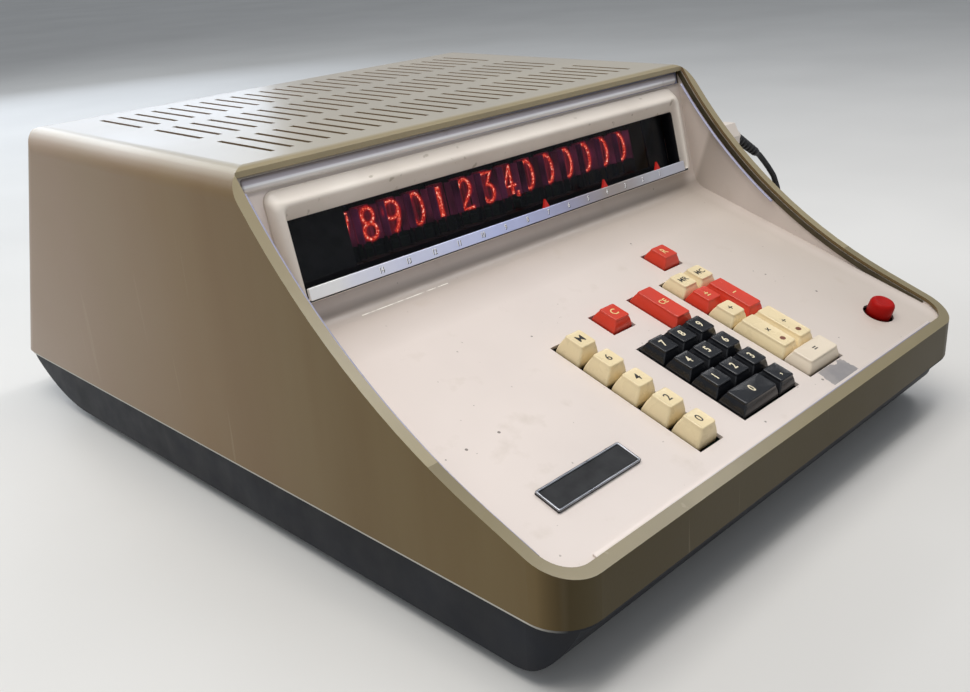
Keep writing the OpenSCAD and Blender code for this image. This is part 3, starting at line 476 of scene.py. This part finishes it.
PAINTS = {
    "olive_paint": olive_paint(), "pan_paint": pan_paint(), "panel_paint": panel_paint(),
    "bezel_plastic": bezel_plastic(), "cathode_metal": haze(), "lit_wire": lit_wire(),
    "near_glow": soft_glow("near_glow", 1.9, 0.16), "far_glow": soft_glow("far_glow", 1.2, 0.07),
    "strip_chrome": strip_chrome(), "brow_chrome": brow_chrome(),
    "foot_rubber": moulded("foot_rubber", srgb(30, 30, 30), 0.8),
    "screw_steel": metal("screw_steel", srgb(180, 180, 180), 0.35),
    "trim_chrome": trim_chrome(),
    "rim_chrome": moulded("rim_chrome", srgb(178, 178, 202), 0.25, 0.1),
    "name_metal": moulded("name_metal", srgb(11, 13, 17), 0.55),
    "name_edge": metal("name_edge", srgb(176, 178, 184), 0.3, (0.3, 0.3, 0.3), 0.45),
    "window_glass": see_through("window_glass", srgb(6, 7, 14), 0.26, 0.05),
    "pointer_red": moulded("pointer_red", srgb(206, 40, 30), 0.3),
    "mask_black": moulded("mask_black", srgb(10, 11, 16), 0.6),
    "tube_glass": see_through("tube_glass", srgb(24, 16, 34), 0.12, 0.08),
    "socket_plastic": moulded("socket_plastic", srgb(70, 48, 34), 0.5),
    "board_green": moulded("board_green", srgb(44, 84, 52), 0.5, 0.3),
    "bracket_metal": metal("bracket_metal", srgb(170, 170, 172), 0.4),
    "switch_plastic": moulded("switch_plastic", srgb(66, 46, 34), 0.5),
    "key_cream": moulded("key_cream", CREAM, 0.28, 0.08),
    "key_black": moulded("key_black", BLACK, 0.2, 0.2),
    "key_red": moulded("key_red", RED, 0.22, 0.12),
    "key_white": moulded("key_white", IVORY, 0.34, 0.05),
    "power_red": moulded("power_red", srgb(168, 16, 10), 0.5, 0.12, specular=0.12),
    "core_iron": metal("core_iron", srgb(96, 94, 92), 0.5, (1, 1, 0.05)),
    "coil_wrap": moulded("coil_wrap", srgb(150, 110, 66), 0.7),
    "can_metal": metal("can_metal", srgb(176, 180, 186), 0.35, (1, 1, 0.05)),
    "inlet_plastic": moulded("inlet_plastic", srgb(224, 213, 202), 0.4),
    "lead_rubber": moulded("lead_rubber", srgb(26, 26, 27), 0.55),
    "plug_plastic": moulded("plug_plastic", srgb(30, 30, 31), 0.45),
    "legend_ink": moulded("legend_ink", INK, 0.5),
    "legend_gold": moulded("legend_gold", GOLD, 0.45),
    "legend_pale": moulded("legend_pale", PALE, 0.45),
    "number_pale": moulded("number_pale", srgb(250, 250, 250), 0.4, 0.04),
    "key_spot": moulded("key_spot", srgb(128, 74, 52), 0.4),
    "tie_wire": moulded("tie_wire", srgb(60, 60, 62), 0.5),
}


def dress_cad_nodes():
    """Every CAD node that shows gets its slot's material."""
    slot_of = {s["node"]: s["material_slot"] for s in frame["record"]["subparts"]}
    for name, obj in nodes.items():
        obj.data.materials.clear()
        obj.data.materials.append(PAINTS[slot_of[name]].mat)


dress_cad_nodes()


def soften(name, width_mm):
    """Rounds a CAD node's sharp edges with modifiers, so its own mesh stays as it is."""
    obj = nodes[name]
    weld = obj.modifiers.new("weld", "WELD")
    weld.merge_threshold = 0.00001
    bevel = obj.modifiers.new("bevel", "BEVEL")
    bevel.width = width_mm * MM
    bevel.segments = 3
    bevel.limit_method = "ANGLE"
    bevel.angle_limit = math.radians(40)
    bevel.harden_normals = True


for softened, width in (("scale_strip", 0.5), ("nameplate", 0.3), ("lead_connector", 1.5),
                        ("mains_plug", 2.0), ("panel_trim", 0.25), ("mains_inlet", 0.5)):
    soften(softened, width)


# Pieces are drawn in millimetres and placed by one of these
TO_METRES = Matrix.Scale(MM, 4)
ON_KEYBOARD, ON_DISPLAY = KEYBOARD @ TO_METRES, DISPLAY @ TO_METRES


def add_piece(name, data, paint, body, smooth=True):
    """New object of a mesh or curve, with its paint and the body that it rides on."""
    obj = bpy.data.objects.new(name, data)
    data.materials.append(PAINTS[paint].mat)
    if smooth:
        data.shade_smooth()
    scene.collection.objects.link(obj)
    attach(obj, body)
    return obj


def rounded_ring(half_x, half_y, radius, per_corner=7, shift_y=0.0):
    """Points of a rectangle with round corners, counter-clockwise."""
    radius = min(radius, half_x, half_y)
    points = []
    for quarter in range(4):
        sx, sy = ((1, 1), (-1, 1), (-1, -1), (1, -1))[quarter]
        for i in range(per_corner):
            angle = math.radians(90 * (quarter + i / (per_corner - 1)))
            points.append((sx * (half_x - radius) + radius * math.cos(angle),
                           sy * (half_y - radius) + radius * math.sin(angle) + shift_y))
    return points


def loft(bm, rings):
    """Closed skin through rings of equal point counts."""
    loops = [[bm.verts.new(p) for p in ring] for ring in rings]
    count = len(loops[0])
    for low, high in zip(loops, loops[1:]):
        for i in range(count):
            j = (i + 1) % count
            bm.faces.new((low[i], low[j], high[j], high[i]))
    bm.faces.new(list(reversed(loops[0])))
    bm.faces.new(loops[-1])


def turned(bm, profile, steps):
    """Closed skin of (radius, height) pairs turned about the z axis."""
    angles = [math.tau * i / steps for i in range(steps)]
    loft(bm, [[(r * math.cos(a), r * math.sin(a), z) for a in angles] for r, z in profile])


def close_rings(bm, rings):
    """Skin through rings of equal point counts, the last joined to the first."""
    loops = [[bm.verts.new(p) for p in ring] for ring in rings]
    count = len(loops[0])
    for k, low in enumerate(loops):
        high = loops[(k + 1) % len(loops)]
        for i in range(count):
            j = (i + 1) % count
            bm.faces.new((low[i], low[j], high[j], high[i]))


def round_curve(name, lines, radius, resolution):
    """Curve of a round section along lines of points in metres; the radius is in millimetres."""
    curve = bpy.data.curves.new(name, "CURVE")
    curve.dimensions = "3D"
    curve.bevel_depth = radius * MM
    curve.bevel_resolution = resolution
    curve.use_fill_caps = True
    for line in lines:
        spline = curve.splines.new("POLY")
        spline.points.add(len(line) - 1)
        for point, at in zip(spline.points, line):
            point.co = (*at, 1)
        spline.use_smooth = True
    return curve


def finish_mesh(bm, name, matrix=Matrix()):
    bm.transform(matrix)
    bmesh.ops.recalc_face_normals(bm, faces=bm.faces)
    mesh = bpy.data.meshes.new(name)
    bm.to_mesh(mesh)
    bm.free()
    return mesh


# Keys: sizes as in the part's source, in millimetres
KEY_GAP, CAP_H, LEFT_CAP_H, CAP_SKIRT = 0.8, 6.5, 9.2, 3.0
CAP_SIDE, CAP_FRONT, CAP_REAR, CAP_DISH = 2.4, 2.4, 2.1, 0.4
STEM_R, STEM_END, STEM_STEPS = 3.0, -19.0, 24
PITCH, LEFT_PITCH, FIRST_ROW = 17.0, 19.0, 20.3
LEFT_U, DIGIT_U, RIGHT_U = -64.0, -24.0, 41.0
REAR_KEY_V = FIRST_ROW + 6 * PITCH + 10


def row(r):
    return FIRST_ROW + r * PITCH


def digit_at(column, r):
    return DIGIT_U + column * PITCH, row(r)


def right_at(column, r):
    return RIGHT_U + column * PITCH, row(r)


# Name: corner, columns, rows, paint, legend and its paint
KEYS = {
    "key_digit_0": (digit_at(0, 0), 2, 1, "key_black", "0", "legend_pale"),
    "key_comma": (digit_at(2, 0), 1, 1, "key_black", ",", "legend_pale"),
    "key_red_left": (digit_at(0, 5), 1, 1, "key_red", "C", "legend_gold"),
    "key_red_long": (digit_at(2, 4), 1, 2, "key_red", "CE", "legend_gold"),
    "key_red_rear": ((RIGHT_U + PITCH, REAR_KEY_V), 1, 1, "key_red", "R", "legend_gold"),
    "key_equals": (right_at(0, 0), 2, 1, "key_white", "=", "legend_ink"),
    "key_times": (right_at(0, 1), 1, 2, "key_cream", "×", "legend_ink"),
    "key_divide": (right_at(1, 1), 1, 2, "key_cream", "÷", "legend_ink"),
    "key_mid": (right_at(0, 3), 1, 1, "key_cream", "+", "legend_ink"),
    "key_red_right": (right_at(0, 4), 1, 1, "key_red", "±", "legend_gold"),
    "key_minus": (right_at(1, 3), 1, 2, "key_red", "−", "legend_gold"),
    "key_top_a": (right_at(0, 5), 1, 1, "key_cream", "MR", "legend_ink"),
    "key_top_b": (right_at(1, 5), 1, 1, "key_cream", "MC", "legend_ink"),
}
for place, mark in enumerate(("0", "2", "4", "6", "M")):
    at = (LEFT_U, FIRST_ROW + place * LEFT_PITCH)
    KEYS[f"key_left_{place + 1}"] = (at, 1, 1, "key_cream", mark, "legend_ink")
for digit in range(1, 10):
    at = digit_at((digit - 1) % 3, math.ceil(digit / 3))
    KEYS[f"key_digit_{digit}"] = (at, 1, 1, "key_black", str(digit), "legend_pale")

# Shoulder radius, corner radius and fullness of the sides: black and red caps are crisper than pale ones
CRISP_CAP, SOFT_CAP = (0.65, 0.9, 0.10), (0.8, 1.4, 0.15)
# Rings of a cap's mesh: shares of the height up its sides, and of the top's size inwards over the dish
SIDE_RINGS, DISH_RINGS = (0.06, 0.2, 0.35, 0.5, 0.65, 0.8, 0.9), (0.9, 0.78, 0.56, 0.34, 0.1)


def key_size(name):
    (u, v), columns, rows, *_ = KEYS[name]
    width, length = columns * PITCH, rows * PITCH
    return u + width / 2, v + length / 2, width - KEY_GAP, length - KEY_GAP


def cap_height(name):
    return LEFT_CAP_H if name.startswith("key_left") else CAP_H


def dish_height(name, x, y, half):
    """Height of the dished top at a place measured from its middle; half is half its width and length."""
    from_middle = max(abs(x) / half[0], abs(y) / half[1])
    return cap_height(name) - CAP_DISH * (1 - min(1, from_middle ** 2))


def build_cap(name):
    u, v, width, length = key_size(name)
    paint = KEYS[name][3]
    tall = cap_height(name)
    edge, corner, full = CRISP_CAP if paint in ("key_black", "key_red") else SOFT_CAP
    half = (width / 2 - CAP_SIDE, (length - CAP_FRONT - CAP_REAR) / 2)
    lean = (CAP_FRONT - CAP_REAR) / 2
    # Share of the taper, height and corner radius of each ring: a slightly full side, then a round shoulder
    profile = [(0, -CAP_SKIRT, corner * 0.7), (0, -0.2, corner * 0.7)]
    for rise in SIDE_RINGS:
        share = rise - full * math.sin(math.pi * rise)
        profile.append((share, rise * (tall - edge), corner * (0.8 + 0.3 * rise)))
    last = (tall - edge) / tall
    for step in range(7):
        turn = math.radians(15 * step)
        share = last + (1 + 0.55 * edge / CAP_SIDE - last) * (1 - math.cos(turn))
        profile.append((share, tall - edge * (1 - math.sin(turn)), corner))
    rings = []
    for share, height, radius in profile:
        half_x = width / 2 - share * CAP_SIDE
        half_y = length / 2 - share * (CAP_FRONT + CAP_REAR) / 2
        ring = rounded_ring(half_x, half_y, radius, shift_y=share * lean)
        rings.append([(x, y, height) for x, y in ring])
    for scale in DISH_RINGS:
        ring = rounded_ring(half[0] * scale, half[1] * scale, corner * scale, shift_y=lean)
        rings.append([(x, y, dish_height(name, x, y - lean, half)) for x, y in ring])
    bm = bmesh.new()
    loft(bm, rings)
    turned(bm, ((STEM_R, STEM_END), (STEM_R, -CAP_SKIRT + 1)), STEM_STEPS)
    place = ON_KEYBOARD @ Matrix.Translation((u, v, 0))
    cap = add_piece("cap_" + name, finish_mesh(bm, name, place), paint, name)
    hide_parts(name)
    return place, half, lean


def text_mesh(name, text, size, width=0.85, bold=0.0):
    """Flat mesh of a short text, centred, in the curve's own units."""
    curve = bpy.data.curves.new(name, "FONT")
    curve.body = text
    curve.size = size
    curve.offset = bold
    curve.align_x, curve.align_y = "CENTER", "CENTER"
    curve.resolution_u = 4
    holder = bpy.data.objects.new(name, curve)
    scene.collection.objects.link(holder)
    bpy.context.view_layer.update()
    shown = holder.evaluated_get(bpy.context.evaluated_depsgraph_get())
    mesh = bpy.data.meshes.new_from_object(shown)
    bpy.data.objects.remove(holder)
    bpy.data.curves.remove(curve)
    for vertex in mesh.vertices:
        vertex.co.x *= width
    mesh.materials.clear()
    return mesh


# Legends: height of one sign and of two letters, and lift above the cap
# Width and boldness of their face, on black caps and on others
LEGEND_H, PAIR_H, LEGEND_LIFT = 6.8, 5.44, 0.05
BLACK_CAP_FACE, OTHER_FACE = (0.88, 0.14), (1.0, 0.07)


def build_legend(name, place, half, lean):
    *_, cap_paint, text, paint = KEYS[name]
    face = BLACK_CAP_FACE if cap_paint == "key_black" else OTHER_FACE
    mesh = text_mesh("legend_" + name, text, LEGEND_H if len(text) == 1 else PAIR_H, *face)
    for vertex in mesh.vertices:
        x, y, _ = vertex.co
        vertex.co = place @ Vector((x, y + lean, dish_height(name, x, y, half) + LEGEND_LIFT))
    add_piece("legend_" + name, mesh, paint, name, smooth=False)


SPOT_KEYS, SPOT_HALF, SPOT_FROM_FRONT = ("key_times", "key_divide"), (2.0, 1.6), 5.0


def build_spot(name, place, half, lean):
    """Brown spot near the front end of a long key."""
    middle = CAP_FRONT + SPOT_FROM_FRONT - key_size(name)[3] / 2
    ring = []
    for i in range(24):
        a = math.radians(15 * i)
        x, y = SPOT_HALF[0] * math.cos(a), middle + SPOT_HALF[1] * math.sin(a)
        ring.append((x, y, dish_height(name, x, y - lean, half) + LEGEND_LIFT))
    bm = bmesh.new()
    bm.faces.new([bm.verts.new(p) for p in ring])
    mesh = finish_mesh(bm, "spot_" + name, place)
    add_piece("spot_" + name, mesh, "key_spot", name, smooth=False)


for key in KEYS:
    placed = build_cap(key)
    build_legend(key, *placed)
    if key in SPOT_KEYS:
        build_spot(key, *placed)


# Power button: its place, its profile as radius and height, and its stem
BUTTON_AT = (139.5, 29.5, 0)
BUTTON_PROFILE = ((7.5, -4), (7.5, 5.4), (7.42, 6.6), (7.0, 7.9), (6.2, 8.7), (5.2, 9.0), (4.4, 8.75),
                  (2.6, 8.3), (0.6, 8.15))
BUTTON_STEM = ((STEM_R, -24), (STEM_R, -3))


def build_power_button():
    """Round button with a rolled edge and a hollow top, turned about its own axis."""
    bm = bmesh.new()
    turned(bm, BUTTON_PROFILE, 48)
    turned(bm, BUTTON_STEM, STEM_STEPS)
    mesh = finish_mesh(bm, "button_cap", ON_KEYBOARD @ Matrix.Translation(BUTTON_AT))
    button = add_piece("button_cap", mesh, "power_red", "power_button")
    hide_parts("power_button")


build_power_button()


# Bezel: one rounded frame, as rings from its outer foot over the crown, into the opening and back outside
# Each ring: half width, bottom and top up the display face, height out of it, corner radius
BEZEL_RINGS = (
    (166.0, 11.5, 69.2, 0.0, 6.0), (166.0, 11.5, 69.2, 1.5, 6.0), (165.8, 11.5, 67.6, 3.0, 6.0),
    (165.4, 11.55, 65.8, 4.6, 6.0), (164.7, 11.7, 64.0, 6.2, 5.6), (163.6, 11.9, 62.6, 7.3, 5.0),
    (162.4, 12.2, 61.6, 7.9, 4.4), (161.3, 12.5, 60.8, 8.0, 4.0), (160.4, 12.8, 59.9, 7.7, 3.6),
    (159.9, 12.95, 58.6, 6.8, 3.2), (159.5, 13.0, 56.5, 5.2, 2.8), (159.1, 13.0, 53.5, 3.0, 2.2),
    (159.0, 13.0, 53.2, 2.6, 2.0), (159.0, 13.0, 53.2, -4.0, 2.0), (161.0, 11.5, 55.2, -4.0, 2.0),
    (161.0, 11.5, 55.2, 0.0, 2.0))

# The frame reaches a little further to the right than to the left
BEZEL_RIGHT = 3.0


def build_bezel():
    bm = bmesh.new()
    rings = []
    for half_x, bottom, top, height, radius in BEZEL_RINGS:
        right = BEZEL_RIGHT if height > 0 else 0
        ring = rounded_ring(half_x + right / 2, (top - bottom) / 2, radius, 9, (top + bottom) / 2)
        rings.append([(x + right / 2, y, height) for x, y in ring])
    close_rings(bm, rings)
    mesh = finish_mesh(bm, "bezel_frame", ON_DISPLAY)
    bezel = add_piece("bezel_frame", mesh, "bezel_plastic", CHASSIS)
    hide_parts("display_bezel")


build_bezel()


# Display: lit numerals, the shields beside them and the scale's numbers
NUMERAL_MID, NUMERAL_H, NUMERAL_W = 38.4, 17.3, 9.6
SHOWN = "78901234000000"
COMMA_AFTER = 7


def arc(cx, cy, rx, ry, start, end, steps):
    angles = [math.radians(start + (end - start) * i / steps) for i in range(steps + 1)]
    return [(cx + rx * math.cos(a), cy + ry * math.sin(a)) for a in angles]


# Strokes of each numeral in a box from -0.5 to 0.5 both ways
STROKES = {
    "0": [arc(0, 0, 0.5, 0.5, 90, 450, 36)],
    "1": [[(-0.26, -0.5), (-0.26, 0.5)], [(-0.16, -0.5), (-0.16, 0.5)]],
    "2": [arc(0, 0.2, 0.46, 0.3, 170, -40, 20) + [(-0.46, -0.5), (0.5, -0.5)]],
    "3": [[(-0.42, 0.5), (0.44, 0.5), (-0.02, 0.1)] + arc(0, -0.2, 0.48, 0.3, 85, -160, 22)],
    "4": [[(0.18, -0.5), (0.18, 0.5), (-0.48, -0.2), (0.5, -0.2)]],
    "7": [[(-0.2, 0.5), (0.74, 0.5), (0.22, -0.5)]],
    "8": [arc(0.12, 0.25, 0.4, 0.25, 90, 450, 28), arc(0.12, -0.25, 0.47, 0.25, 90, 450, 28)],
    "9": [arc(-0.1, 0.22, 0.54, 0.28, 0, 360, 30), arc(-0.62, 0.22, 1.06, 0.85, 0, -58, 12)],
    ",": [[(0.66, -0.42), (0.66, -0.5), (0.58, -0.62)]],
}
# Radii of a lit wire, the glow round it and the faint halo
WIRE_R, GLOW_R, HALO_R = 0.62, 1.15, 1.8
# How far forward of a tube's middle a numeral stands
NEAR, DEEP = 1.5, -0.5


def wires(name, lines, radius, paint):
    """Round wire along strokes. A line is a tube's number, its strokes and how far forward they are."""
    paths = []
    for i, strokes, forward in lines:
        for stroke in strokes:
            paths.append([ON_DISPLAY @ Vector((tube_x(i) + x * NUMERAL_W, NUMERAL_MID + y * NUMERAL_H,
                                               forward - TUBE_DEPTH)) for x, y in stroke])
    add_piece(name, round_curve(name, paths, radius, 2), paint, CHASSIS, smooth=False)


LIT = [(i, STROKES[shown], DEEP if shown == "0" else NEAR) for i, shown in enumerate(SHOWN)]
LIT.append((COMMA_AFTER, STROKES[","], NEAR))
for line in LIT[:-1]:
    wires(f"numeral_{line[0]}", [line], WIRE_R, "lit_wire")
wires("numeral_comma", LIT[-1:], WIRE_R, "lit_wire")
wires("numeral_glow", LIT, GLOW_R, "near_glow")
wires("numeral_halo", LIT, HALO_R, "far_glow")

# Side plates of a tube: distance from its middle, half thickness and half depth, and reach past the numeral
SHIELD_X, SHIELD_HALF, SHIELD_PAST = 6.6, (0.2, 3.0), 1.0


def build_shields():
    """Thin side plates in each tube, which hide a deep numeral's edge from the side."""
    bm = bmesh.new()
    section = rounded_ring(*SHIELD_HALF, 0.15, 3)
    reach = NUMERAL_H / 2 + SHIELD_PAST
    for i in range(TUBES):
        for x in (tube_x(i) - SHIELD_X, tube_x(i) + SHIELD_X):
            loft(bm, [[(x + px, NUMERAL_MID + up, NEAR - TUBE_DEPTH + pz) for px, pz in section]
                      for up in (-reach, reach)])
    mesh = finish_mesh(bm, "tube_shields", ON_DISPLAY)
    add_piece("tube_shields", mesh, "cathode_metal", CHASSIS, smooth=False)


build_shields()

# Numbers on the scale bar: a dark one behind, a painted shadow of the engraving, and a pale one before it,
# shifted apart
STRIP_MID, STRIP_FACE, NUMBER_H, NUMBER_SHIFT = 16.25, 8.56, 4.2, 0.22


def build_scale_numbers():
    for index in range(TUBES):
        number = str(TUBES - index)
        for shift, paint in ((NUMBER_SHIFT, "legend_ink"), (-NUMBER_SHIFT, "number_pale")):
            mesh = text_mesh("scale_" + number, number, NUMBER_H, bold=0.05)
            offset = Vector((tube_x(index) + shift, STRIP_MID - shift, STRIP_FACE - shift / 8))
            for vertex in mesh.vertices:
                vertex.co = ON_DISPLAY @ (vertex.co + offset)
            add_piece(f"scale_{number}_{paint}", mesh, paint, CHASSIS, smooth=False)


build_scale_numbers()


# Mains lead: the route of the part's source, in millimetres as there, drawn in metres as one curve
LEAD_D, COIL_STEP, COIL_TURNS, COIL_MID_R, COIL_RINGS = 4.4, 6.8, 6.5, 32.0, 48
LEAD_DROP, LEAD_TURN = math.radians(33), math.radians(8)
LEAD_DIR = Vector((math.cos(LEAD_DROP) * math.cos(LEAD_TURN),
                   -math.cos(LEAD_DROP) * math.sin(LEAD_TURN), -math.sin(LEAD_DROP)))
NECK_END, RELIEF_END = 10.0, 40.0
PLUG_AT = Vector((246, -53.205, 142))
LEAD_START = PLUG_AT + RELIEF_END * LEAD_DIR
LEAD_LOW = LEAD_D / 2 + 0.2
LEAD_ROUTE = [
    (287.6, -59.6, 112.6), (291.8, -61.6, 106.7), (294.4, -65, 99.8), (295.6, -68, 90.6),
    (296, -70.2, 80.8), (296, -71.6, 70), (296, -72, 59.5), (296.3, -71, 49), (296.5, -68.7, 39),
    (296.6, -65.1, 29.7), (296.8, -60.5, 21.2), (296.9, -54.8, 13.8), (296.9, -48, 7.9), (297, -40.4, 3.9),
    (297, -32, LEAD_LOW), (297, -20, LEAD_LOW), (297, -8, LEAD_LOW), (297, 4, LEAD_LOW), (297, 16, LEAD_LOW)]
COIL_OUT = COIL_MID_R + COIL_STEP * COIL_TURNS / 4
COIL_AT = Vector((LEAD_ROUTE[-1][0] - COIL_OUT, LEAD_ROUTE[-1][1] + 2 * LEAD_D, LEAD_ROUTE[-1][2]))
COIL_TAIL = 8 * LEAD_D


def coil_point(t):
    radius = COIL_OUT - COIL_STEP * min(t, COIL_TURNS - t)
    height = COIL_STEP * min(1, max(0, 2 * t - COIL_TURNS + 0.5))
    angle = math.tau * t
    return COIL_AT + Vector((radius * math.cos(angle), radius * math.sin(angle), height))


def build_lead():
    points = [LEAD_START, LEAD_START + LEAD_D * LEAD_DIR] + [Vector(p) for p in LEAD_ROUTE]
    points += [points[-1] + Vector((0, LEAD_D, 0))]
    points += [coil_point(i / COIL_RINGS) for i in range(round(COIL_TURNS * COIL_RINGS) + 1)]
    points += [points[-1] - Vector((0, COIL_TAIL, 0))]
    curve = round_curve("lead", [[at * MM for at in points]], LEAD_D / 2, 4)
    lead = add_piece("lead", curve, "lead_rubber", CHASSIS, smooth=False)
    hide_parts("mains_lead", "lead_coil")
    on_it = [nodes["lead_connector"], build_relief(), nodes["mains_plug"], build_tie()]


# Ribs of the sleeve: their number, pitch, outer radius and how much less each next one has
RIBS, RIB_PITCH, RIB_R, RIB_LESS = 6, 4.2, 4.0, 0.13


def build_relief():
    """Ribbed rubber sleeve from the connector's neck to the lead."""
    turn = LEAD_DIR.to_track_quat("Z", "Y").to_matrix().to_4x4()
    place = TO_METRES @ Matrix.Translation(PLUG_AT) @ turn
    profile = [(0.5, NECK_END), (RIB_R, NECK_END), (RIB_R, NECK_END + 3)]
    for rib in range(RIBS):
        at, full = NECK_END + 3.6 + RIB_PITCH * rib, RIB_R - RIB_LESS * rib
        profile += [(full - 0.9, at), (full - 0.9, at + 0.9), (full, at + 1.3), (full, at + 3.3),
                    (full - 0.3, at + 3.6)]
    profile += [(2.9, RELIEF_END), (1.0, RELIEF_END)]
    bm = bmesh.new()
    turned(bm, profile, 24)
    mesh = finish_mesh(bm, "relief_sleeve", place)
    relief = add_piece("relief_sleeve", mesh, "lead_rubber", CHASSIS)
    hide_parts("strain_relief")
    return relief


def build_tie():
    """Wire tie round the coil's turns at their rear."""
    bm = bmesh.new()
    middle = Vector((COIL_AT.x, COIL_AT.y + COIL_MID_R, COIL_AT.z + COIL_STEP / 2))
    half_r = COIL_OUT - COIL_MID_R + LEAD_D / 2 + 0.8
    half_z = COIL_STEP / 2 + LEAD_D / 2 - 0.6
    rings = []
    for grow, x in ((0, -2), (0.9, -2), (1.2, 0), (0.9, 2), (0, 2)):
        ring = rounded_ring(half_r + grow, half_z + grow * 0.5, 4)
        rings.append([middle + Vector((x, py, pz)) for py, pz in ring])
    close_rings(bm, rings)
    mesh = finish_mesh(bm, "lead_tie", TO_METRES)
    return add_piece("lead_tie", mesh, "tie_wire", CHASSIS)


build_lead()


# Bare nameplate: a bright raised border on the dark plate, with its section as inset and height
NAME_AT, NAME_HALF, NAME_TOP = (-124, 38.3, 0), (28.65, 7.4), 1.6
NAME_SECTION = ((0, -0.5), (0, 0), (0.25, 0.3), (0.9, 0.3), (1.2, 0), (1.2, -0.5))


def build_name_border():
    bm = bmesh.new()
    rings = []
    for inset, rise in NAME_SECTION:
        ring = rounded_ring(NAME_HALF[0] - inset, NAME_HALF[1] - inset, 0.8, 4)
        rings.append([(x, y, NAME_TOP + rise) for x, y in ring])
    close_rings(bm, rings)
    mesh = finish_mesh(bm, "name_border", ON_KEYBOARD @ Matrix.Translation(NAME_AT))
    add_piece("name_border", mesh, "name_edge", CHASSIS)


build_name_border()

# Half-round moulding on the bright band under the brow, and its rounded ends as distance in and size
BROW_HALF_X, BROW_DEPTH, BROW_BACK = 176.0, 2.2, -0.4
BROW_ENDS = ((0, 0.3), (0.6, 0.85), (1.6, 1.0))


def half_round(half, depth, steps):
    """Points of a half round from one edge over the crown to the other."""
    angles = [math.pi * i / steps for i in range(steps + 1)]
    return [(half * math.cos(a), depth * math.sin(a)) for a in angles]


def build_brow_moulding():
    middle, half = (BROW_LOW + BROW_HIGH) / 2 / MM, (BROW_HIGH - BROW_LOW) / 2 / MM
    section = [(-half, BROW_BACK), *half_round(-half, BROW_DEPTH, 20), (half, BROW_BACK)]
    stations = [(inset - BROW_HALF_X, grow) for inset, grow in BROW_ENDS]
    stations += [(-x, grow) for x, grow in reversed(stations)]
    bm = bmesh.new()
    loft(bm, [[(x, middle + y * grow, z * grow if z > 0 else z) for y, z in section] for x, grow in stations])
    mesh = finish_mesh(bm, "brow_moulding", ON_DISPLAY)
    add_piece("brow_moulding", mesh, "brow_chrome", CHASSIS)


build_brow_moulding()

# Half-round bright mouldings on the side trims: the left one runs down to the front, the right one ends on
# the rim. The rim's circle in the side view, the slope before it, and where the mouldings start and end
RIM_CENTRE, RIM_R, RIM_SLOPE = (-331.374, 390.168), 335.0, 21
RIM_TOP, RIM_END = -36.5, -236.0
LEFT_FOOT, LEFT_INSET, LEFT_WALL = -69.0, 3.8, -180.0
RIGHT_FOOT, RIGHT_INSET, RIGHT_WALL = -54.0, 5.6, 177.5


def rim_path(foot, inset):
    """Places in the side view along the hollow rim, each with the way out of it."""
    path = []
    for i in range(61):
        a = math.radians(RIM_TOP + (foot - RIM_TOP) * i / 60)
        out = (-math.cos(a), -math.sin(a))
        at = tuple(c - (RIM_R + inset) * o for c, o in zip(RIM_CENTRE, out))
        path.append((at, out))
    return path


def left_path():
    path = rim_path(LEFT_FOOT, LEFT_INSET)
    (y, z), out = path[-1]
    end_z = z - (y - RIM_END) * math.tan(math.radians(RIM_SLOPE))
    return path + [((RIM_END, end_z), out)]


def build_rim_moulding(name, path, half, depth, wall):
    """Half-round moulding on the wall at x = wall; its depth is towards the middle of the case."""
    back = wall - math.copysign(0.2, depth)
    section = [(-half, back), (half, back)]
    section += [(w, wall + x) for w, x in half_round(half, depth, 12)]
    bm = bmesh.new()
    loft(bm, [[(x, y + w * out[0], z + w * out[1]) for w, x in section] for (y, z), out in path])
    add_piece(name, finish_mesh(bm, name, TO_METRES), "rim_chrome", CHASSIS)


build_rim_moulding("left_moulding", left_path(), 1.5, 3.3, LEFT_WALL)
build_rim_moulding("right_moulding", rim_path(RIGHT_FOOT, RIGHT_INSET), 0.6, -1.3, RIGHT_WALL)


# Floor and light
def make_floor():
    bm = bmesh.new()
    bmesh.ops.create_grid(bm, x_segments=1, y_segments=1, size=12)
    mesh = finish_mesh(bm, "floor")
    floor = bpy.data.objects.new("floor", mesh)
    p = Paint("floor", 0.7)
    p.colour(p.ramp(p.noise(3, 3), (0.3, srgb(214, 212, 208)), (0.7, srgb(222, 220, 216))))
    mesh.materials.append(p.mat)
    scene.collection.objects.link(floor)


def add_area(name, at, target, size, power, colour=(1, 1, 1)):
    data = bpy.data.lights.new(name, "AREA")
    data.shape = "RECTANGLE"
    data.size, data.size_y = size
    data.energy = power
    data.color = colour
    lamp = bpy.data.objects.new(name, data)
    lamp.location = at
    lamp.rotation_euler = (Vector(target) - Vector(at)).to_track_quat("-Z", "Y").to_euler()
    scene.collection.objects.link(lamp)


def make_light():
    world = bpy.data.worlds.new("world")
    scene.world = world
    world.use_nodes = True
    background = world.node_tree.nodes["Background"]
    background.inputs["Color"].default_value = (0.86, 0.92, 1.0, 1)
    background.inputs["Strength"].default_value = 0.34
    middle = (0, -0.05, 0.1)
    add_area("key", (-0.42, -0.15, 1.5), middle, (1.0, 1.0), 13.5, (1.0, 0.97, 0.93))
    add_area("tube", (0.6, -0.3, 1.2), (0.6, -0.22, 0), (1.4, 0.22), 5.4, (0.98, 0.97, 0.98))
    add_area("rear", (-0.5, 1.7, 1.1), middle, (1.8, 0.9), 19, (0.88, 0.94, 1.0))
    add_area("low", (0.55, 1.9, 0.55), (-0.12, 0.1, 0.2), (1.0, 0.5), 3.5, (0.74, 0.84, 1.0))
    add_area("fill", (-1.5, -1.2, 0.9), middle, (1.2, 1.2), 2)


make_floor()
make_light()
